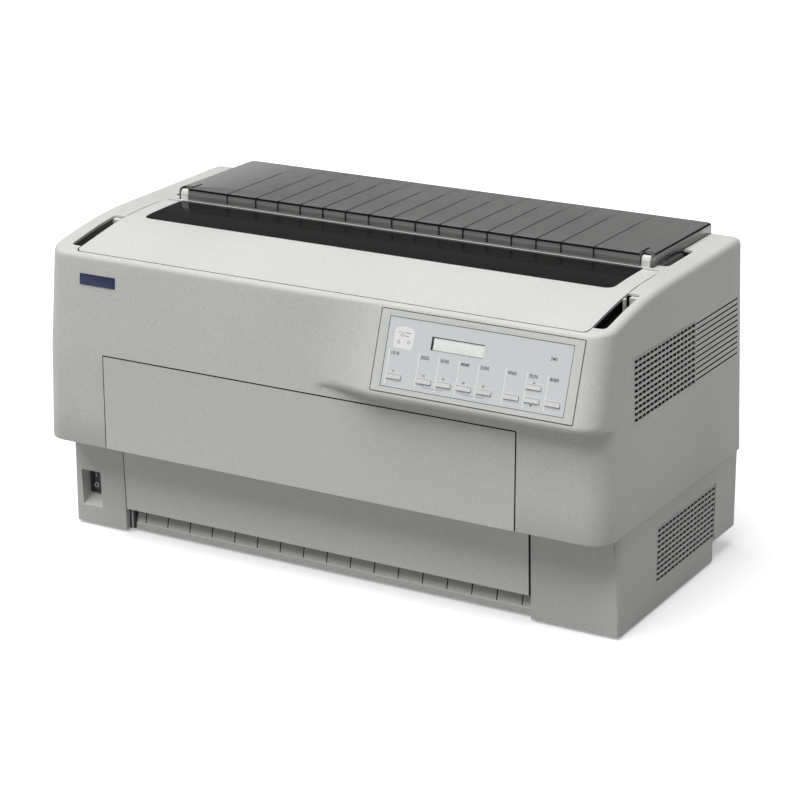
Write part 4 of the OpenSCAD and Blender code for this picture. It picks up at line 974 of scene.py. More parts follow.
@dataclass
class UpperHousing:
    """Upper moulding with its crowned top and the bulge that carries the control panel."""

    half: float = 350.0
    draft: float = 8.0
    low: float = LOW
    rise: float = RISE
    front: float = -170.0
    rear: float = 187.0
    rear_lean: float = 3.0
    belt: float = 228.0
    rim_y: float = -156.0
    rim_z: float = 331.98
    rim_r: float = 7.0
    corner: float = 27.0
    rear_corner: float = 12.0
    bulge: tuple[float, float] = (5.0, 88.0)
    root: tuple[float, float] = (-169.33, 238.0)
    lip: tuple[float, float] = (-184.0, 249.0)
    leans: Triple = (FRONT_LEAN, PANEL_LEAN, 1.9)
    wall: float = 3.0
    deck_x: float = 6.0
    sunk: float = 0.0

    def width(self, z: np.ndarray | float) -> np.ndarray | float:
        """Half the housing's width at a height."""
        return self.half - self.draft * (z - self.low) / self.rise

    def back(self, z: np.ndarray | float) -> np.ndarray | float:
        """Depth of the rear at a height."""
        return self.rear - self.rear_lean * (z - self.low) / self.rise

    def inside(self) -> "UpperHousing":
        """The same form drawn in by the wall on every side."""
        w = self.wall
        return replace(
            self,
            half=self.half - w,
            low=self.low + w,
            front=self.front + w,
            rear=self.rear - w,
            rim_r=self.rim_r - w,
            corner=self.corner - w,
            rear_corner=self.rear_corner - w,
            root=(self.root[0] + w, self.root[1] + w),
            sunk=w,
        )

    def loop(self) -> dict[str, np.ndarray]:
        """One ring's points as weights of the width, front, rear and corner radii.

        Returns:
            Arrays, one value per point, by the names in keys: weights of the half width and of
            the corner radii in x, weights of front, rear and the radii in y, outward normal in
            plan, and share of the bulge.
        """
        rows: list[tuple[float, ...]] = []
        turns = np.radians(np.linspace(0, 90, 9))
        flat = self.half - self.corner
        start, full = self.bulge
        panel = np.linspace(start - 6, full, 26) / flat
        xs = np.concatenate([[-1, -0.85, -0.6, -0.3], panel, [0.45, 0.7, 0.99]])
        share = np.clip((xs * flat - start) / (full - start), 0, 1) ** 1.3
        rows += [(u, -u, 0, 1, 0, 0, 0, 0, -1, s) for u, s in zip(xs, share)]
        bends = [(math.sin(a), math.cos(a)) for a in turns]
        rows += [(1, s - 1, 0, 1, 0, 1 - c, 0, s, -c, 1) for s, c in bends]
        steps = np.linspace(0, 1, 10)[1:-1]
        rows += [(1, 0, 0, 1 - s, s, 1 - s, -s, 1, 0, 1) for s in steps]
        rows += [(1, 0, c - 1, 0, 1, 0, s - 1, c, s, 0) for s, c in bends]
        rows += [(v, 0, -v, 0, 1, 0, 0, 0, 1, 0) for v in np.linspace(1, -1, 9)[1:-1]]
        rows += [(-1, 0, 1 - c, 0, 1, 0, s - 1, -c, s, 0) for s, c in bends[::-1]]
        rows += [(-1, 0, 0, s, 1 - s, s, s - 1, -1, 0, 0) for s in steps]
        rows += [(-1, 1 - s, 0, 1, 0, 1 - c, 0, -s, -c, 0) for s, c in bends[::-1][:-1]]
        keys = ("xw", "xr", "xq", "yf", "yb", "yr", "yq", "nx", "ny", "share")
        return dict(zip(keys, np.array(rows, float).T))

    def ring(
        self, p: dict[str, np.ndarray], w: object, f: object, b: object, draw: float = 0.0
    ) -> np.ndarray:
        """Plan of one ring: x and y are sums of the weights times width, front, rear and radii.

        Args:
            p: The loop's weights.
            w: Half width, a number or one per point.
            f: Depth of the front.
            b: Depth of the rear.
            draw: How far the ring is drawn in on all sides.

        Returns:
            Array (points, 2).
        """
        r, q = self.corner - draw, self.rear_corner - draw
        x = p["xw"] * (w - draw) + p["xr"] * r + p["xq"] * q
        y = p["yf"] * (f + draw) + p["yb"] * (b - draw) + p["yr"] * r + p["yq"] * q
        return np.column_stack([x, y])

    def skin(self) -> Shape:
        """Closed outer skin: rings from the middle of the underside up and over the top.

        Upright part: between the root and the rim a ring's front lies at (1 - s) plain + s bulged,
        where s is the point's share of the bulge. The rim is an arc from the face's lean to the
        slope of the top, round a rounded rectangle that is drawn in by its radius.
        """
        p = self.loop()
        # Centre line of the rim
        rim_back = self.back(350.0) - self.rim_r
        r, q = self.corner - self.rim_r, self.rear_corner - self.rim_r
        cy = p["yf"] * self.rim_y + p["yb"] * rim_back + p["yr"] * r + p["yq"] * q
        fall = math.degrees(CROWN.nose)
        drop = 1 + (1 / math.cos(CROWN.nose) - 1) * np.maximum(-p["ny"], 0)
        cz = CROWN.z(cy) - (self.rim_r + self.sunk) * drop
        cx = p["xw"] * (self.width(cz) - self.rim_r) + p["xr"] * r + p["xq"] * q
        plain, full, side = self.leans
        ahead = np.where(p["ny"] < 0, -p["ny"] * (plain + (full - plain) * p["share"]), 0)
        lean = np.radians(ahead + side * np.abs(p["nx"]))
        top = cz + self.rim_r * np.sin(lean)
        rings = []
        # Underside and its rounded edge
        base = self.ring(p, self.half, self.front, self.rear)
        centre = np.array([0.0, 10.0])
        for scale in (0.02, 0.5):
            rings.extend(lifted(centre + (base - centre) * scale, (self.low,)))
        for draw, lift in ((1.2, 0.0), (0.35, 0.35), (0.0, 1.2)):
            plan = self.ring(p, self.half, self.front, self.rear, draw)
            rings.extend(lifted(plan, (self.low + lift,)))
        for z in (160.0, 200.0, self.belt, self.root[1]):
            front = self.front if z <= self.belt else self.root[0]
            rings.extend(lifted(self.ring(p, self.width(z), front, self.back(z)), (z,)))
        # From the root over the lip to the rim
        (lip_y, lip_z), rim = self.lip, self.rim_r
        low, high = math.radians(-75), math.radians(full)
        under = np.array([lip_y - rim * math.cos(low), lip_z + rim * math.sin(low)])
        t = np.linspace(0, 1, 5)[1:]
        root = np.array(self.root)
        line = [root + (under - root) * np.column_stack([t, t**1.3])]
        turn = np.radians(np.linspace(-75, full, 9)[1:])
        line.append(np.column_stack([lip_y - rim * np.cos(turn), lip_z + rim * np.sin(turn)]))
        end = np.array([self.rim_y - rim * math.cos(high), self.rim_z + rim * math.sin(high)])
        t = np.linspace(0, 1, 12)[1:, None]
        line.append(line[-1][-1] + (end - line[-1][-1]) * t)
        plain_end = self.rim_y - rim * math.cos(math.radians(plain))
        for y, z in np.concatenate(line):
            h = (z - self.root[1]) / (end[1] - self.root[1])
            level = self.root[1] + h * (top - self.root[1])
            flat = self.root[0] + h * (plain_end - self.root[0])
            face = (1 - p["share"]) * flat + p["share"] * y
            plan = self.ring(p, self.width(level), face, self.back(level))
            rings.append(np.column_stack([plan, level]))
        # Rim
        stop = np.radians(90 - fall * np.maximum(-p["ny"], 0))
        for m in np.linspace(0, 1, 8)[1:]:
            a = lean + (stop - lean) * m
            reach = rim * np.cos(a)
            plan = np.column_stack([cx + reach * p["nx"], cy + reach * p["ny"]])
            rings.append(np.column_stack([plan, cz + rim * np.sin(a)]))
        edge = rings[-1][:, :2]
        middle = np.array([0.0, 15.0])
        for scale in (0.985, 0.96, 0.9, 0.82, 0.72, 0.6, 0.46, 0.3, 0.15, 0.03):
            plan = middle + (edge - middle) * scale
            rings.append(np.column_stack([plan, CROWN.z(plan[:, 1]) - self.sunk]))
        return Shape().grid(np.array(rings))

    def openings(self) -> Shape:
        """Spaces that are cut out of the shell. None of them meets another."""
        shape = boxes(
            [
                (-293.5, 305.5, 25.8, 176.0, 318.0, 380.0),
                (-264.5, 247.5, -180.0, -152.4, 114.0, 228.0),
                (320.0, 360.0, -102.0, 171.0, 228.0, 302.2),
                (-337.0, 337.0, -122.5, 177.0, 114.0, 127.5),
                (-260.5, 260.5, 175.0, 195.0, 141.3, 315.5),
                (-230.0, 230.0, 175.0, 195.0, 128.0, 135.0),
            ]
        )
        shape.slab(PANEL.moved(204.0, 43.8), (232.0, 86.6), -5.9, 12.0, 0.6, steps=2)
        deck = Facing.TOP.at(self.deck_x, -68.15, 0)
        return shape.slab(deck, (623.0, 176.7), 300.0, 380.0, 6.0, steps=7)

    def tray_places(self) -> list[tuple[float, float, float, float, float]]:
        """Finger slots and guide recesses: middle, width, depth and how deep they are."""
        found = []
        for side in (-1, 1):
            found.append((self.deck_x + side * 315.5, -102.5, 21.0, 85.0, 16.0))
            found.append((self.deck_x + side * 302.25, 71.8, 18.5, 68.0, 10.0))
        return found

    def build(self) -> None:
        """Makes the shell, its finger trays and its ledges."""
        shell = self.skin().mesh("upper_housing")
        cut(shell, self.inside().skin().mesh("inside"))
        cut(shell, self.openings().mesh("housing_openings"))
        slots, trays = Shape(), (Shape(), Shape())
        for x, y, width, depth, deep in self.tray_places():
            slots.slab(Facing.TOP.at(x, y, 0), (width, depth), 305.0, 390.0, 5.5, steps=6)
            self.tray(trays[int(x > 0)], x, y, width, depth, deep)
        cut(shell, slots.mesh("tray_openings"))
        shade(shell, 28)
        finish(shell, "case", Finish.HOUSING, ("upper_case",))
        # Both finger trays are painted shade: dark grey on the left, near-black on the right
        for name, shape, look in (("left", trays[0], Finish.PAN), ("right", trays[1], Finish.TRAY)):
            shade(shape.piece(f"finger_trays_{name}", "dark_plastic", look), 30)
        self.brackets()
        # The ledges under the top cover's gaps are near-black: painted shade in the gaps
        ledges = Shape()
        for side in (-1, 1):
            a, b = sorted((self.deck_x + side * 306.0, self.deck_x + side * 316.0))
            crown_bar(ledges, (a, b), (-54.0, 3.0), (3.3, 5.5))
        crown_bar(ledges, (-285.0, 297.0), (-159.0, -152.0), (3.3, 5.5))
        ledges.piece("cover_ledges", "dark_plastic", Finish.TRAY)

    def brackets(self) -> None:
        """Makes the hinge brackets, and the latch posts and light ends of the finger slots."""
        x, top = self.deck_x, float(CROWN.z(15.0))
        cover, front, rear = -8.5, (-168.5, -157.0, 119.6, 132.0), (174.0, 184.0, 145.0, 157.0)
        sides, spans = (-1, 1), []
        for s in sides:
            spans.append((x + s * 316 - 4, x + s * 316 + 4, 8.0, 21.0, top - 10.7, top - 1.0))
        spans += [(cover + s * 261 - 4.5, cover + s * 261 + 4.5, *front) for s in sides]
        spans += [(s * 265.5 - 4.5, s * 265.5 + 4.5, *rear) for s in sides]
        boxes(spans).piece("hinge_brackets", "housing", Finish.HOUSING, edge=0.6)
        posts = Shape()
        for side in (-1, 1):
            inner, outer = sorted((x + side * 311.6, x + side * 314.4))
            crown_bar(posts, (inner, outer), (-75.0, -70.5), (1.2, 15.5))
            inner, outer = sorted((x + side * 315.0, x + side * 325.7))
            crown_bar(posts, (inner, outer), (-66.0, -60.4), (2.8, 15.5))
        posts.piece("latch_posts", "housing", Finish.HOUSING, edge=0.5)

    def tray(
        self, shape: Shape, x: float, y: float, width: float, depth: float, deep: float
    ) -> None:
        """Adds one open tray: its outline is carried down the outside and back up the inside."""
        rings = []
        for grow, drop in ((1.5, deep + 1.8), (1.5, 2.6), (-0.03, 2.6), (-0.03, deep)):
            plan = rounded(width + 2 * grow, depth + 2 * grow, 5.5 + grow, 6) + [x, y]
            rings.append(np.column_stack([plan, CROWN.z(plan[:, 1]) - drop]))
        shape.grid(np.array(rings))


# ---- stage ----


def facing(out: Triple, helper: Triple) -> np.ndarray:
    """Turning matrix (4, 4) whose Z axis is out and whose X axis is helper x out."""
    ahead = np.array(out)
    ahead /= np.linalg.norm(ahead)
    right = np.cross(helper, ahead)
    right /= np.linalg.norm(right)
    turn = np.eye(4)
    turn[:3, 0], turn[:3, 1], turn[:3, 2] = right, np.cross(ahead, right), ahead
    return turn


@dataclass
class Studio:
    """Floor, lights and camera of the picture."""

    camera_at: Triple = (1366.2, -2371.2, 1090.4)
    target: Triple = (18.1, -3.7, 174.7)
    lens: float = 116.55
    sun: float = 2.70
    sun_width: float = math.radians(54)
    sun_from: Triple = (-0.15, -0.375, 1.0)
    ambient: float = 0.235
    upper: float = 0.18
    floor_tone: float = 0.25
    floor_glow: float = 0.34
    floor_edge: float = 12000.0

    def build(self) -> None:
        """Makes the camera, the lights, the world and the floor."""
        scene = bpy.context.scene
        scene.view_settings.view_transform = "Standard"
        self.camera(scene)
        self.light()
        self.world(scene)
        self.floor()

    def camera(self, scene: bpy.types.Scene) -> None:
        """Places the camera at the photograph's angle."""
        data = bpy.data.cameras.new("camera")
        data.lens = self.lens
        data.sensor_width = 36.0
        data.clip_end = 50.0
        obj = linked("camera", data)
        where = np.array(self.camera_at)
        turn = facing(where - np.array(self.target), (0, 0, 1.0))
        turn[:3, 3] = where * MM
        obj.matrix_world = Matrix(turn.tolist())
        scene.camera = obj

    def light(self) -> None:
        """One broad soft sun from above the left front."""
        data = bpy.data.lights.new("soft_sun", "SUN")
        data.energy = self.sun
        data.angle = self.sun_width
        turn = facing(self.sun_from, (0, 1.0, 0))
        linked("soft_sun", data).matrix_world = Matrix(turn.tolist())

    def world(self, scene: bpy.types.Scene) -> None:
        """White where the camera looks, a dim grey as light.

        A reflection sees white near the horizon, and the dark upper part of a studio above it.
        """
        world = bpy.data.worlds.new("studio")
        scene.world = world
        world.use_nodes = True
        sky = Wiring()
        sky.tree = world.node_tree
        shader = next(n for n in sky.tree.nodes if n.type == "BACKGROUND")
        rays = sky.node("ShaderNodeLightPath").outputs
        height = sky.parts(sky.node("ShaderNodeTexCoord").outputs["Generated"])["Z"]
        upper = sky.spread(height, 1.0, self.upper, 0.02, 0.14)
        strength = sky.either(rays["Is Glossy Ray"], self.ambient, upper)
        strength = sky.either(rays["Is Transmission Ray"], strength, 1.0)
        strength = sky.either(rays["Is Camera Ray"], strength, 1.0)
        sky.feed(shader.inputs["Color"], (1.0, 1.0, 1.0))
        sky.feed(shader.inputs["Strength"], strength)

    def floor(self) -> None:
        """A wide plane that looks white and keeps the printer's shadow."""
        e = self.floor_edge
        corners = np.array([[-e, -e, 0], [e, -e, 0], [-e, e, 0], [e, e, 0]]).reshape(2, 2, 3)
        obj = Shape().grid(corners, wrap=False).mesh("floor", tidy=False)
        white = (1.0, 1.0, 1.0)
        s = Surface(
            "floor_paper", Roughness=0.9, Specular_IOR_Level=0.0, Emission_Color=(*white, 1.0)
        )
        rays = s.node("ShaderNodeLightPath").outputs
        seen = s.either(rays["Is Glossy Ray"], rays["Is Camera Ray"], 1.0)
        seen = s.either(rays["Is Transmission Ray"], seen, 1.0)
        s.link(s.blend(seen, (self.floor_tone,) * 3, white), "Base Color")
        s.link(s.either(seen, 0.0, self.floor_glow), "Emission Strength")
        obj.data.materials.append(s.material)


# ---- CAD nodes ----


@dataclass
class FrameNodes:
    """CAD nodes: each gets its slot's finish, and a copy with rounded edges stands for many."""

    widths: dict[str, float] = field(
        default_factory=lambda: {
            "base_tub": 0.8,
            "front_cover": 0.7,
            "lower_panel": 0.7,
            "rear_door": 0.7,
            "panel_frame": 0.35,
            "top_cover": 0.6,
            "feet": 0.6,
            "top_window": 0.4,
            "guide_lugs": 0.6,
            "exit_chute": 0.6,
            "power_rocker": 0.6,
            "switch_housing": 0.3,
            "rear_ports": 0.3,
            "carriage": 0.8,
            "print_head": 0.4,
            "ribbon_cartridge": 0.7,
            "platen": 0.5,
            "side_frame_left": 0.3,
            "side_frame_right": 0.3,
            "fan_frame": 0.7,
            "power_supply": 0.6,
            "carriage_motor": 0.6,
            "feed_motor_front": 0.8,
            "feed_motor_rear": 0.8,
            "tractor_front_left": 0.7,
            "tractor_front_right": 0.7,
            "tractor_rear_left": 0.7,
            "tractor_rear_right": 0.7,
            **{f"key_{i}": 0.35 for i in range(1, 10)},
        }
    )
    # Own finishes: the base gets a darker copy of the housing plastic (painted shade), the lower
    # front panel a lighter one (painted light)
    own: dict[str, Finish] = field(
        default_factory=lambda: {
            "base_tub": Finish.BASE,
            "lower_panel": Finish.FRONT,
            "panel_frame": Finish.PANEL,
            "exit_chute": Finish.CHUTE,
        }
    )

    def build(self) -> None:
        """Finishes every node by its material slot in the record, then makes the copies."""
        slots = {row["node"]: row["material_slot"] for row in frame["record"]["subparts"]}
        groups = frame["record"]["behaviour"]["bodies"]
        bodies = {node: body for body, nodes in groups.items() for node in nodes}
        for node, slot in slots.items():
            data = frame["nodes"][node].data
            data.materials.clear()
            data.materials.append(SLOT_LOOKS[slot].material)
        for node, width in self.widths.items():
            look = self.own.get(node, SLOT_LOOKS[slots[node]])
            finish(refined(node, width), bodies[node], look, (node,))


@dataclass
class ControlPanel:
    """Film, display, key marks and lamps of the control panel. Its labels are plain numbers."""

    keys: tuple[float, ...] = (113.3, 148.3, 171.3, 194.3, 217.3)
    dividers: tuple[float, ...] = (104.0, 139.0, 162.0, 185.4, 208.0, 239.0, 262.5, 286.0)
    film: tuple[float, float, float, float] = (99.0, 309.0, 7.0, 80.1)
    display: tuple[float, float, float, float] = (150.5, 211.0, 51.5, 65.5)
    ink: float = -0.14
    under: float = -0.25

    def frame(self, box: tuple[float, ...], width: float) -> list[tuple[float, ...]]:
        """Four bars along the inside of a rectangle."""
        x0, x1, v0, v1 = box
        return [
            (x0, x1, v0, v0 + width),
            (x0, x1, v1 - width, v1),
            (x0, x0 + width, v0, v1),
            (x1 - width, x1, v0, v1),
        ]

    def build(self) -> None:
        """Makes the pieces."""
        lines = [(x - 0.45, x + 0.45, 10.0, 46.0) for x in self.dividers]
        # Dark strips in the gaps round the panel frame: painted shade
        gap_shades = [
            (87.7, 88.6, 1.2, 86.9),
            (319.4, 320.3, 1.2, 86.9),
            (88.6, 319.4, 86.3, 86.9),
            (88.6, 319.4, 0.9, 1.7),
        ]
        brackets = []
        for a, b in (self.keys[1:3], self.keys[3:5]):
            brackets += [(a, b, 12.2, 12.6), (a, a + 0.4, 12.2, 15.2), (b - 0.4, b, 12.2, 15.2)]
        # The film's dark edge is painted shade where the film lies in its shallow recess
        for name, rows, low, high, look in (
            ("divider_lines", lines, self.under, self.ink, Finish.WHITE_INK),
            ("film_edge", self.frame(self.film, 0.6), -0.5, -0.05, Finish.GREY_INK),
            ("panel_gap_shade", gap_shades, -1.0, 0.04, Finish.GREY_INK),
            ("pair_marks", brackets, self.under, self.ink, Finish.TEAL_INK),
        ):
            Shape().plates(PANEL, rows, low, high).piece(name, "panel_film", look)
        self.patch()
        self.pictogram()
        self.arrows()
        self.numbers()
        self.lamps()
        self.screen()

    def patch(self) -> None:
        """White patch: a circle swollen towards its corners, with five slight waves round it."""
        turn = circle(48)
        swollen = 11.6 * (np.abs(np.cos(turn)) ** 5 + np.abs(np.sin(turn)) ** 5) ** -0.2
        reach = swollen + 0.35 * np.sin(5 * turn)
        plan = np.column_stack([118.6 + reach * np.cos(turn), 59.2 + 0.98 * reach * np.sin(turn)])
        patch = Shape().grid(PANEL.map(lifted(plan, (self.under, self.ink))))
        patch.piece("blank_patch", "panel_film", Finish.WHITE_INK)

    def pictogram(self) -> None:
        """Three rings and three dashes on the blank patch, without meaning."""
        low, high = -0.2, self.ink + 0.06
        marks = [(111.5, 114.0, 64.6, 65.1), (119.5, 126.0, 64.6, 65.1), (120.0, 124.0, 61.0, 61.5)]
        shape = Shape()
        for x, v, r in ((116.5, 62.5, 2.0), (113.0, 54.5, 1.7), (124.5, 55.0, 1.5)):
            shape.hoop(PANEL, (x, v), r - 0.4, r, low, high, 20)
        shape.plates(PANEL, marks, low, high)
        shape.piece("patch_marks", "panel_film", Finish.GREY_INK)

    def arrows(self) -> None:
        """Plain arrow heads above and below the pair of keys that stand over each other."""
        shape = Shape()
        for v, way in ((36.6, 1), (13.6, -1)):
            plan = np.array([[-1.5, -way * 0.8], [1.5, -way * 0.8], [0.0, way * 1.2]]) + [271.3, v]
            shape.grid(PANEL.map(lifted(plan, (self.under, self.ink))))
        shape.piece("arrow_marks", "panel_film", Finish.GREY_INK)

    def numbers(self) -> None:
        """Plain numbers beside the upper ends of the divider lines and beside five keys."""
        rows = [(str(1010 * (i + 1)), 5.0, x + 1.8, 41.0) for i, x in enumerate(self.dividers)]
        rows.append(("240", 5.0, 285.0, 61.5))
        rows += [(str(i + 11), 3.6, x - 3.0, 23.0) for i, x in enumerate(self.keys)]
        marks = [lettering(text, size, PANEL.moved(x, v, self.ink)) for text, size, x, v in rows]
        finish(joined("key_numbers", marks), "case", Finish.GREY_INK)

    def lamps(self) -> None:
        """Small round lenses flush with the film."""
        shape = Shape()
        profile = [(0.01, -0.4), (0.85, -0.4), (0.85, -0.1), (0.5, 0.15), (0.01, 0.2)]
        for x, v in ((188.6, 37.0), (211.2, 36.6), (289.4, 36.6), (295.6, 58.6)):
            shape.turned(PANEL.moved(x, v), profile, 12)
        shape.piece("lamp_lenses", "panel_film", Finish.LED)

    def screen(self) -> None:
        """Display glass deep in its frame, with black blocks on the frame's left and upper walls:
        painted shade in the recess.
        """
        x0, x1, v0, v1 = self.display
        deep = -4.9
        middle = PANEL.moved((x0 + x1) / 2, (v0 + v1) / 2)
        face = Shape().slab(middle, (x1 - x0 - 1, v1 - v0 - 1), deep, -1.2, 0.3, 0.2)
        face.piece("display_face", "display_glass", Finish.DISPLAY, replaced=("display",))
        edge, top = x0 + 1.9, v1 - 0.1
        walls = [(x0 + 0.02, edge, v0 + 0.1, top), (edge, x1 - 0.02, v1 - 0.5, top)]
        well = Shape().plates(PANEL, walls, deep, -0.5)
        well.piece("display_well_shade", "black_plastic", Finish.BLACK)


def lettering(text: str, size: float, place: Place) -> tuple[np.ndarray, list[list[int]]]:
    """Mesh of a short text, flat on a place.

    Args:
        text: The text.
        size: Size of the type in millimetres.
        place: Where its lower left corner lies.

    Returns:
        Points in metres, and faces as lists of point numbers.
    """
    curve = bpy.data.curves.new("type", "FONT")
    curve.body, curve.size, curve.resolution_u, curve.offset = text, size, 2, 0.08
    obj = linked("type", curve)
    data = evaluated(obj)
    points = np.zeros(len(data.vertices) * 3)
    data.vertices.foreach_get("co", points)
    faces = [list(p.vertices) for p in data.polygons]
    bpy.data.objects.remove(obj, do_unlink=True)
    return place.map(points.reshape(-1, 3)) * MM, faces


def joined(name: str, parts: list[tuple[np.ndarray, list[list[int]]]]) -> bpy.types.Object:
    """One mesh object from several sets of points and faces."""
    starts = np.cumsum([0] + [len(points) for points, _ in parts])
    faces = [
        [int(start) + i for i in face] for start, (_, some) in zip(starts, parts) for face in some
    ]
    data = bpy.data.meshes.new(name)
    data.from_pydata(np.concatenate([points for points, _ in parts]).tolist(), [], faces)
    return linked(name, data)


@dataclass
class PaperGuide:
    """Smoked guide: a shell with a rounded front, side walls, fins under it and edge lines."""

    x: tuple[float, float] = (-293.0, 305.0)
    y: tuple[float, float] = (25.2, 180.0)
    z: tuple[float, float] = (360.1, 373.1)
    wall: float = 2.5
    nose: float = 4.0
    middle: float = 6.0
    lug: float = 290.5
    lug_rear: float = 36.7
    pitch: float = 29.6
    fin: float = 1.3
    fin_rear: float = 144.2

    def build(self) -> None:
        """Makes the shell and its fins."""
        (x0, x1), (y0, y1), (z0, z1) = self.x, self.y, (self.z[0], self.z[1] - 0.06)
        mid, width, wall = (x0 + x1) / 2, x1 - x0, self.wall
        over = Facing.TOP.at(mid, (y0 + y1 + 20) / 2, 0)
        outer = Shape().slab(over, (width, y1 - y0 + 20), z0, z1, 5.0, self.nose, steps=7)
        over = Facing.TOP.at(mid, (y0 + y1 + 30 + wall) / 2, 0)
        size = (width - 2 * wall, y1 - y0 + 30 - wall)
        inner = Shape().slab(over, size, z0 - 10, z1 - wall, 2.5, 1.6, steps=7)
        shell = outer.mesh("guide_shell")
        cut(shell, inner.mesh("guide_inside"))
        spans = [(x0 - 5, x1 + 5, y1, y1 + 40, z0 - 20, z1 + 5)]
        for side in (-1, 1):
            c = self.middle + side * self.lug
            spans.append((c - 6, c + 6, y0 - 5, self.lug_rear, z0 - 3, z1 + 5))
        spans.append((x0 - 5, x1 + 5, 60.0, y1 - 0.01, z0 - 5, z0 + 2.1))
        cut(shell, boxes(spans).mesh("guide_gaps"))
        shade(shell, 40)
        finish(shell, "paper_guide", Finish.SMOKED, ("paper_guide",))
        self.fins(y0, y1, z0 + 0.9, z1)
        film = boxes([(x0 + 2.6, x1 - 2.6, 140.0, y1 - 0.4, z1 - 3.3, z1 - 2.55)])
        self.piece(film, "guide_rear_film", Finish.SMOKED)
        self.lines(x0, x1, y0, y1, z1)
        foot = boxes([(x0 + 14, x1 - 14, y0 - 0.02, y0 + 1.0, z0 + 0.02, z0 + 0.7)])
        self.piece(foot, "guide_foot_line", Finish.CHUTE)

    def piece(self, shape: Shape, name: str, look: Finish) -> None:
        """Makes a piece that rides on the guide."""
        shape.piece(name, "smoked", look, "paper_guide")

    def fins(self, y0: float, y1: float, low: float, z1: float) -> None:
        """Adds the fins, each thicker at its front, their rear ends, and the lugs' cheeks."""
        fins, half = Shape(), self.fin / 2
        places = [(i + 0.5) * self.pitch for i in range(-7, 7)]
        places += [-7.8 * self.pitch, 7.8 * self.pitch]
        for place in places:
            self.plate(fins, self.middle + place, self.fin, y0 - 0.02, self.fin_rear, low)
            self.plate(fins, self.middle + place, 2.1, y0 - 0.04, y0 + 4.2, low)
        for side in (-1, 1):
            self.plate(fins, self.middle + side * 282.9, 3.0, y0 + self.wall - 0.4, 51.2, low)
        self.piece(fins, "guide_fins", Finish.FIN)
        middles = [self.middle + place for place in places]
        tails = [(x - half, x + half, 144.0, y1 - 0.5, z1 - 2.4, z1 - 0.02) for x in middles]
        self.piece(boxes(tails), "guide_fin_tails", Finish.FIN)

    def lines(self, x0: float, x1: float, y0: float, y1: float, z1: float) -> None:
        """Adds the dark lines on the rounded front edge, between the lugs, and on both sides: a
        painted dark reflection of the smoked plastic's rounded edges.
        """
        edge, c = Shape(), self.nose - 2.2
        reach = self.nose * math.sqrt(0.5)
        front, top = y0 + self.nose - reach + 0.55, z1 - self.nose + reach - 0.55
        for radius, ends in (
            (1.45, [(x0 + c + 13, front, top), (x1 - c - 13, front, top)]),
            (1.15, [(x1 - c, y0 + 8, top), (x1 - c, y1 - 1, top)]),
            (1.15, [(x0 + c, y0 + 8, top), (x0 + c, y1 - 1, top)]),
        ):
            edge.tube(np.array(ends), radius, 8)
        self.piece(edge, "guide_edge_lines", Finish.SCREEN)

    def plate(
        self, shape: Shape, x: float, thick: float, front: float, rear: float, low: float
    ) -> None:
        """Adds an upright plate under the top, with the shell's quarter circle at its front."""
        top, r = self.z[1] - 0.02, self.nose
        turn = np.linspace(0, math.pi / 2, 6)
        arc = np.column_stack([front + r - r * np.sin(turn), top - r + r * np.cos(turn)])
        side = np.vstack([[[front, low], [rear, low], [rear, top]], arc])
        shape.grid(carried(side, [x + s * thick / 2 for s in (-1, 1)]))


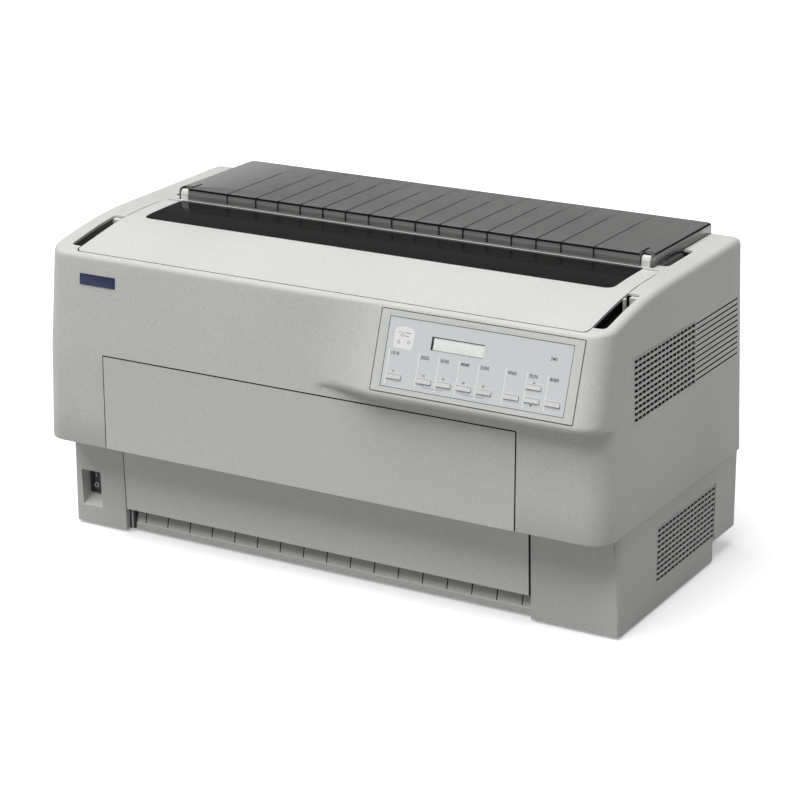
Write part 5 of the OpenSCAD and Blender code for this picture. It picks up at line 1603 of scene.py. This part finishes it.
@dataclass
class FrontMarks:
    """Badge, switch marks, paper sill, vents, and dark lines in the gaps."""

    rib_pitch: float = 30.2
    row: float = 6.2
    column: float = 9.5
    columns: int = 16

    def build(self) -> None:
        """Makes the pieces."""
        face = leaning((-271.5, -164.45, 310.75), math.radians(FRONT_LEAN))
        badge = Shape().slab(face, (47.0, 12.5), -0.6, 0.7, 0.8, 0.3)
        badge.piece("blank_badge", "black_plastic", Finish.BADGE)
        self.switch_marks()
        self.sill()
        self.strips()
        self.vents()
        self.gap_shades()
        self.top_lines()

    def switch_marks(self) -> None:
        """Line and ring on the two halves of the rocker."""
        tilt = math.atan2(1.6, 12.0)
        low, high = -0.2, 0.12
        shape = Shape()
        place = leaning((-325.2, -108.0, 51.0 + 6.0), -tilt)
        shape.slab(place, (1.0, 5.0), low, high, 0.1, steps=2)
        place = leaning((-325.2, -108.0, 51.0 - 6.0), tilt)
        shape.hoop(place, (0, 0), 1.9, 2.7, low, high, 24)
        shape.piece("switch_marks", "black_plastic", Finish.WHITE_INK, "power_rocker")

    def sill(self) -> None:
        """Paper sill: a leaning wedge with a lip, and thin dark lines where its ribs end: painted
        shade between the ribs.
        """
        front = [[-112.0, 3.2], [-112.0, 10.0], [-110.6, 11.4], [-102.9, 48.0]]
        side = np.array(front + [[-99.0, 48.0], [-108.0, 3.2]])
        sill = Shape().grid(carried(side, (-268.2, 242.9)))
        sill.piece("sill", "guide_grey", Finish.HOUSING, edge=0.3, replaced=("front_sill",))
        shape = Shape()
        side = np.array([[-110.75, 11.2], [-102.95, 48.2], [-102.1, 48.2], [-109.9, 11.2]])
        for i in range(17):
            x = -255.8 + i * self.rib_pitch
            shape.grid(carried(side, [x + s * 0.6 for s in (-1, 1)]))
        shape.piece("sill_ribs", "guide_grey", Finish.SCREEN)

    def strips(self) -> None:
        """Dark strips beside the sill and the lower front panel, painted shade in the gaps, and the
        post at their left.
        """
        y, z = (-114.5, -104.0), (4.0, 47.0)
        # The black boxes beside the post are painted shade in the gaps
        gap = boxes([(-274.9, -272.6, *y, *z), (-270.6, -268.4, -113.6, y[1], *z)])
        gap.piece("sill_gap_shade", "dark_plastic", Finish.BLACK)
        shadows = boxes([(-268.0, 243.0, -103.3, -102.2, 46.4, 48.6)])
        for x0, x1, y0, y1 in ((240.7, 243.4, 0.1, 6.0), (-274.95, -273.6, 0.75, 1.2)):
            plan = np.array([[x0, y0], [x1, y0], [x1, y1], [x0, y1]])
            # The panel leans forward by 5 mm over 116 mm of height
            rings = [lifted(plan + [0, -125.0 + (119 - h) * 5 / 116], (h,))[0] for h in (29.3, 118)]
            shadows.grid(np.array(rings))
        shadows.piece("panel_shadows", "dark_plastic", Finish.SCREEN)
        upright = boxes([(-272.6, -270.6, -114.8, y[1], *z)])
        upright.piece("sill_upright", "guide_grey", Finish.BASE, edge=0.4)

    def vents(self) -> None:
        """Both vents of the right side, with a thin black sheet behind each: painted shade in the
        holes.
        """
        lean = math.atan(8.0 / RISE)
        along, c, s = (0.0, 1.0, 0.0), math.cos(lean), math.sin(lean)
        up = Place((343.26, -99.0, 231.0), along, (-s, 0.0, c), (c, 0.0, s))
        low = Place((342.0, -28.0, 31.0), along, (0.0, 0.0, 1.0), (1.0, 0.0, 0.0))
        shape = Shape().slab(up.moved(133.4, 34.1), (272.0, 73.0), 0.0, 0.25, 0.5, steps=2)
        shape.slab(low.moved(76.0, 31.0), (156.0, 66.0), 0.0, 0.25, 0.5, steps=2)
        shape.piece("vent_shade_sheets", "vent", Finish.SCREEN)
        self.grille("grille_upper", up, 11, 115.0, Finish.HOUSING)
        self.grille("grille_lower", low, 10, 0.0, Finish.BASE)

    def grille(self, node: str, place: Place, rows: int, groove: float, look: Finish) -> None:
        """Replaces one vent: sloped slats along it, thin bars across it, and a flat rim.

        A slat's section starts as a narrow face flush with the housing and climbs towards the
        inside, so that its upper side catches the light. The bars lie a little deeper. Faces that
        look away from the outside get the near-black finish: painted shade inside the vent.

        Args:
            node: CAD node the vent replaces.
            place: Lower front corner of its holes, on its inner face.
            rows: Number of rows of holes.
            groove: Length of the closed grooves behind the holes, or 0.
            look: Finish of its outside.
        """
        pitch, half, border = self.row, 1.2, 2.9
        wide, tall = self.columns * self.column, rows * pitch
        shape = Shape()
        section = np.array([[3.0, -1.25], [3.0, 0.1], [1.7, half], [0.4, half], [0.4, -1.25]])
        for row in range(rows + 1):
            side = np.column_stack([row * pitch + section[:, 1], section[:, 0]])
            shape.grid(place.map(carried(side, (-0.3, wide))))
        for column in range(self.columns + 1):
            at = place.moved(column * self.column, tall / 2)
            shape.slab(at, (1.9, tall), 0.6, 2.4, 0.02, steps=2)
        end, above, top = wide + border + groove, tall + half, tall + border
        rim = [
            (-border, -0.9, -border, top),
            (-0.9, end, -border, -half),
            (-0.9, end, above, top),
        ]
        if groove:
            first, last = wide + 2.2, end - border
            rim += [(wide, first, -half, above), (last, end, -half, above)]
            for r in range(rows - 1):
                rim.append((first, last, (r + 0.5) * pitch + 0.85, (r + 1.5) * pitch - 0.85))
            rim += [(first, last, -half, 2.25), (first, last, tall - 2.25, above)]
        else:
            rim.append((wide + 0.9, end, -border, top))
        shape.plates(place, rim, 0.3, 3.0, 0.02)
        plate = shape.piece(f"{node}_slats", "vent", look, replaced=(node,))
        # Inward faces take the near-black finish: painted shade inside the vent
        plate.data.materials.append(Finish.SCREEN.material)
        normals = np.zeros(len(plate.data.polygons) * 3)
        plate.data.polygons.foreach_get("normal", normals)
        inward = normals.reshape(-1, 3)[:, 0] < 0.5
        plate.data.polygons.foreach_set("material_index", inward.astype(np.int32))

    def gap_shades(self) -> None:
        """Black strips behind the gaps round the front cover, and dark lines in them: painted shade
        in the gaps.
        """
        y = (-166.9, -165.4)
        rows = [
            (-267.5, -262.2, *y, 134.0, 231.0),
            (245.2, 250.5, *y, 134.0, 231.0),
            (-262.2, 245.2, *y, 227.2, 231.0),
        ]
        boxes(rows).piece("cover_gap_shade", "dark_plastic", Finish.SCREEN)
        y, z = (-170.04, -169.0), (120.0, 227.6)
        lines = boxes([(246.5, 248.1, *y, *z), (-264.7, -263.7, *y, *z)])
        lines.slab(Facing.FRONT.at(-8.5, -170.0, z[1]), (511.4, 1.4), -1.0, 0.04, 0.02, steps=2)
        lines.piece("cover_gap_lines", "dark_plastic", Finish.SCREEN)

    def top_lines(self) -> None:
        """Dark line in the top cover's gap and a dark strip on the deck behind the window, both
        painted shade, and the round inner corners of its window.
        """
        turn = np.linspace(0, math.pi / 2, 7)
        quarter = np.column_stack([1 - np.sin(turn), 1 - np.cos(turn)])
        corner, (x0, x1), y = quarter * 6.0, (-305.5, 317.5), -156.5
        front = [[[x0, -146.0]], corner[::-1] + [x0, y], corner * [-1, 1] + [x1, y], [[x1, -146.0]]]
        sides = [np.column_stack([np.full(12, x), np.linspace(-57.0, 5.0, 12)]) for x in (x0, x1)]
        top_shade = crown_bar(Shape(), (-284.0, 296.0), (17.8, 22.8), (-0.03, 0.6))
        for path, radius in ((np.vstack(front), 0.8), (sides[0], 0.5), (sides[1], 0.5)):
            top_shade.tube(np.column_stack([path, CROWN.z(path[:, 1]) - 0.6 * radius]), radius, 6)
        top_shade.piece("top_gap_line", "dark_plastic", Finish.GREY_INK)
        corners = Shape()
        for x, way in ((-285.0, 1), (297.0, -1)):
            plan = np.vstack([[[-0.3, -0.3]], quarter * 8.0]) * [way, 1] + [x, -56.0]
            high = CROWN.z(plan[:, 1])
            corners.grid(np.array([np.column_stack([plan, high + lift]) for lift in (-0.6, 0.05)]))
        corners.piece("window_corners", "cover_white", Finish.COVER, "top_cover")


@dataclass
class RearDetails:
    """Sockets' contacts, inlet pins, screws and the rear door's grip. Nothing here has a word."""

    face: float = 190.8

    def build(self) -> None:
        """Makes the pieces."""
        self.sockets()
        y, blades = (175.5, 187.1), ((-296.1, 72), (-289.1, 75), (-282.1, 72))
        spans = [(x, x + 2.2, *y, z, z + 5.1) for x, z in blades]
        boxes(spans).piece("inlet_blades", "steel", Finish.STEEL, edge=0.4)
        self.screws()
        self.grip()

    def sockets(self) -> None:
        """Metal shell, core, contacts and two screws of each socket."""
        frames, pins, cores = Shape(), Shape(), Shape()
        screw = [(0.01, -1.0), (1.6, -1.0), (1.6, 0.0), (1.2, 0.18), (0.01, 0.18)]
        low, high = -0.3, 0.15
        sockets = ((193.0, 73.5, 54.0, 11.0, 18), (275.0, 73.0, 20.0, 8.0, 5))
        for x, z, width, height, count in sockets:
            place = Facing.REAR.at(x, self.face, z)
            outer = lifted(rounded(width, height, 2.5), (low, high))
            inner = lifted(rounded(width - 2.4, height - 2.4, 1.6), (low, high))
            rings = np.array([inner[0], outer[0], outer[1], inner[1], inner[0]])
            frames.grid(place.map(rings), capped=False)
            cores.slab(place, (width - 7.0, 2.4), low, 0.12, 0.3, steps=2)
            for row in (-1, 1):
                for i in range(count):
                    u = (i - (count - 1) / 2) * (width - 9.0) / count
                    pins.slab(place.moved(u, row * 1.9), (0.9, 0.8), low, 0.14, 0.05, steps=2)
            for side in (-1, 1):
                frames.turned(place.moved(side * (width / 2 + 3.2), 0), screw, 6)
        frames.piece("socket_shells", "steel", Finish.STEEL)
        pins.piece("socket_contacts", "steel", Finish.COPPER)
        cores.piece("socket_cores", "black_plastic", Finish.TRAY)

    def screws(self) -> None:
        """Cross-head screws beside the rear door, each in a dark ring with a black cross on its
        head: painted shade of the sink round it and of its cross recess.
        """
        heads, cups, marks = Shape(), Shape(), Shape()
        cup = [(3.6, -0.6), (4.6, -0.6), (4.6, 0.04), (3.6, 0.04)]
        head = [(0.01, -1.0), (3.5, -1.0), (3.5, 0.1), (2.8, 0.5), (0.01, 0.65)]
        for x in (-300.0, 300.0):
            for z in (134.0, 322.0):
                place = Facing.REAR.at(x, 187.0 - (z - LOW) / RISE, z)
                cups.turned(place, cup, 24)
                heads.turned(place, head, 24)
                for size in ((3.6, 0.6), (0.6, 3.6)):
                    marks.slab(place, size, 0.0, 0.72, 0.1, steps=2)
        cups.piece("screw_cups", "dark_plastic", Finish.TRAY)
        heads.piece("screw_heads", "steel", Finish.STEEL)
        marks.piece("screw_crosses", "dark_plastic", Finish.SCREEN)

    def grip(self) -> None:
        """Three low ridges near the rear door's top, where fingers pull it open."""
        shape = Shape()
        for i in range(3):
            z = 296.0 + i * 5.0
            place = Facing.REAR.at(0.0, 187.0 - (z - LOW) / RISE, z)
            shape.slab(place, (70.0, 2.0), -1.0, 0.9, 0.9, 0.5, steps=4)
        shape.piece("door_grip", "housing", Finish.HOUSING, "rear_door")


@dataclass
class InnerDetails:
    """Chips, capacitors and plugs on the main board, and the power supply's slots and label."""

    left: float = -265.0
    right: float = 213.5
    front: float = -71.5
    top: float = 16.1
    cans: tuple[tuple[float, ...], ...] = (
        (-240, 92, 7, 22),
        (-220, 92, 7, 22),
        (-198, 94, 5, 15),
        (120, 92, 8, 24),
        (142, 92, 8, 24),
        (164, 94, 5, 15),
        (-60, 95, 4, 12),
        (20, 95, 4, 12),
    )
    plugs: tuple[tuple[float, float], ...] = ((-200, 40), (-120, 24), (0, 50), (90, 24), (150, 36))

    def build(self) -> None:
        """Makes the pieces."""
        self.chips()
        self.capacitors()
        y, z = (-66, -60), (self.top - 0.1, self.top + 9)
        plugs = boxes([(x, x + width, *y, *z) for x, width in self.plugs])
        plugs.piece("board_plugs", "wheel_plastic", Finish.WHEEL, edge=0.5)
        # The power supply's slots are thin near-black plates on its top: painted shade in place of
        # holes
        slots = boxes([(308.0, 331.5, -74.0 + i * 7, -71.0 + i * 7, 87.0, 87.54) for i in range(9)])
        slots.piece("supply_slots", "dark_plastic", Finish.SCREEN)
        label = Shape().slab(Facing.TOP.at(319.7, 12.0, 87.5), (24.0, 30.0), -0.3, 0.06, 1.0)
        label.piece("supply_label", "cover_white", Finish.COVER)

    def chips(self) -> None:
        """Five chips along the board, each with two rows of 14 legs."""
        step = (self.right - self.left - 80) / 4.5
        y, z, x0 = (self.front + 39.9, self.front + 76.1), (16.2, 21.15), self.left
        spans = [(x0 + 40 + i * step - 0.1, x0 + 76.1 + i * step, *y, *z) for i in range(5)]
        boxes(spans).piece("chip_bodies", "black_plastic", Finish.BLACK, edge=0.5)
        legs = Shape()
        for i in range(5):
            for j in range(14):
                u = x0 + 42.5 + i * step + j * 2.4
                for at in (self.front + 38.2, self.front + 77.8):
                    legs.slab(Facing.TOP.at(u, at, self.top), (0.8, 3.6), -0.2, 0.8, 0.2, steps=2)
        legs.piece("chip_legs", "steel", Finish.STEEL)

    def capacitors(self) -> None:
        """Upright capacitors, each given as its place, radius and height."""
        sleeves, tops = Shape(), Shape()
        for x, y, r, h in self.cans:
            place = Facing.TOP.at(x, y, self.top)
            sleeve = [(0.01, -0.2), (r, -0.2), (r, 1.5), (r - 0.4, 2.2), (r, 3), (r, h - 1)]
            sleeves.turned(place, sleeve + [(r - 0.9, h), (r - 1.2, h)], 24)
            cap = [(0.01, h - 1), (r - 1.0, h - 1), (r - 1.0, h - 0.1), (0.01, h - 0.1)]
            tops.turned(place, cap, 24)
        sleeves.piece("capacitor_sleeves", "black_plastic", Finish.CAN)
        tops.piece("capacitor_tops", "steel", Finish.CAST)


def main() -> None:
    """Builds the printer's pieces in order and reports each."""
    for part in (
        Studio,
        FrameNodes,
        UpperHousing,
        ControlPanel,
        PaperGuide,
        FrontMarks,
        RearDetails,
        InnerDetails,
    ):
        part().build()


if __name__ == "__main__":
    logging.basicConfig(level=logging.INFO)
    main()
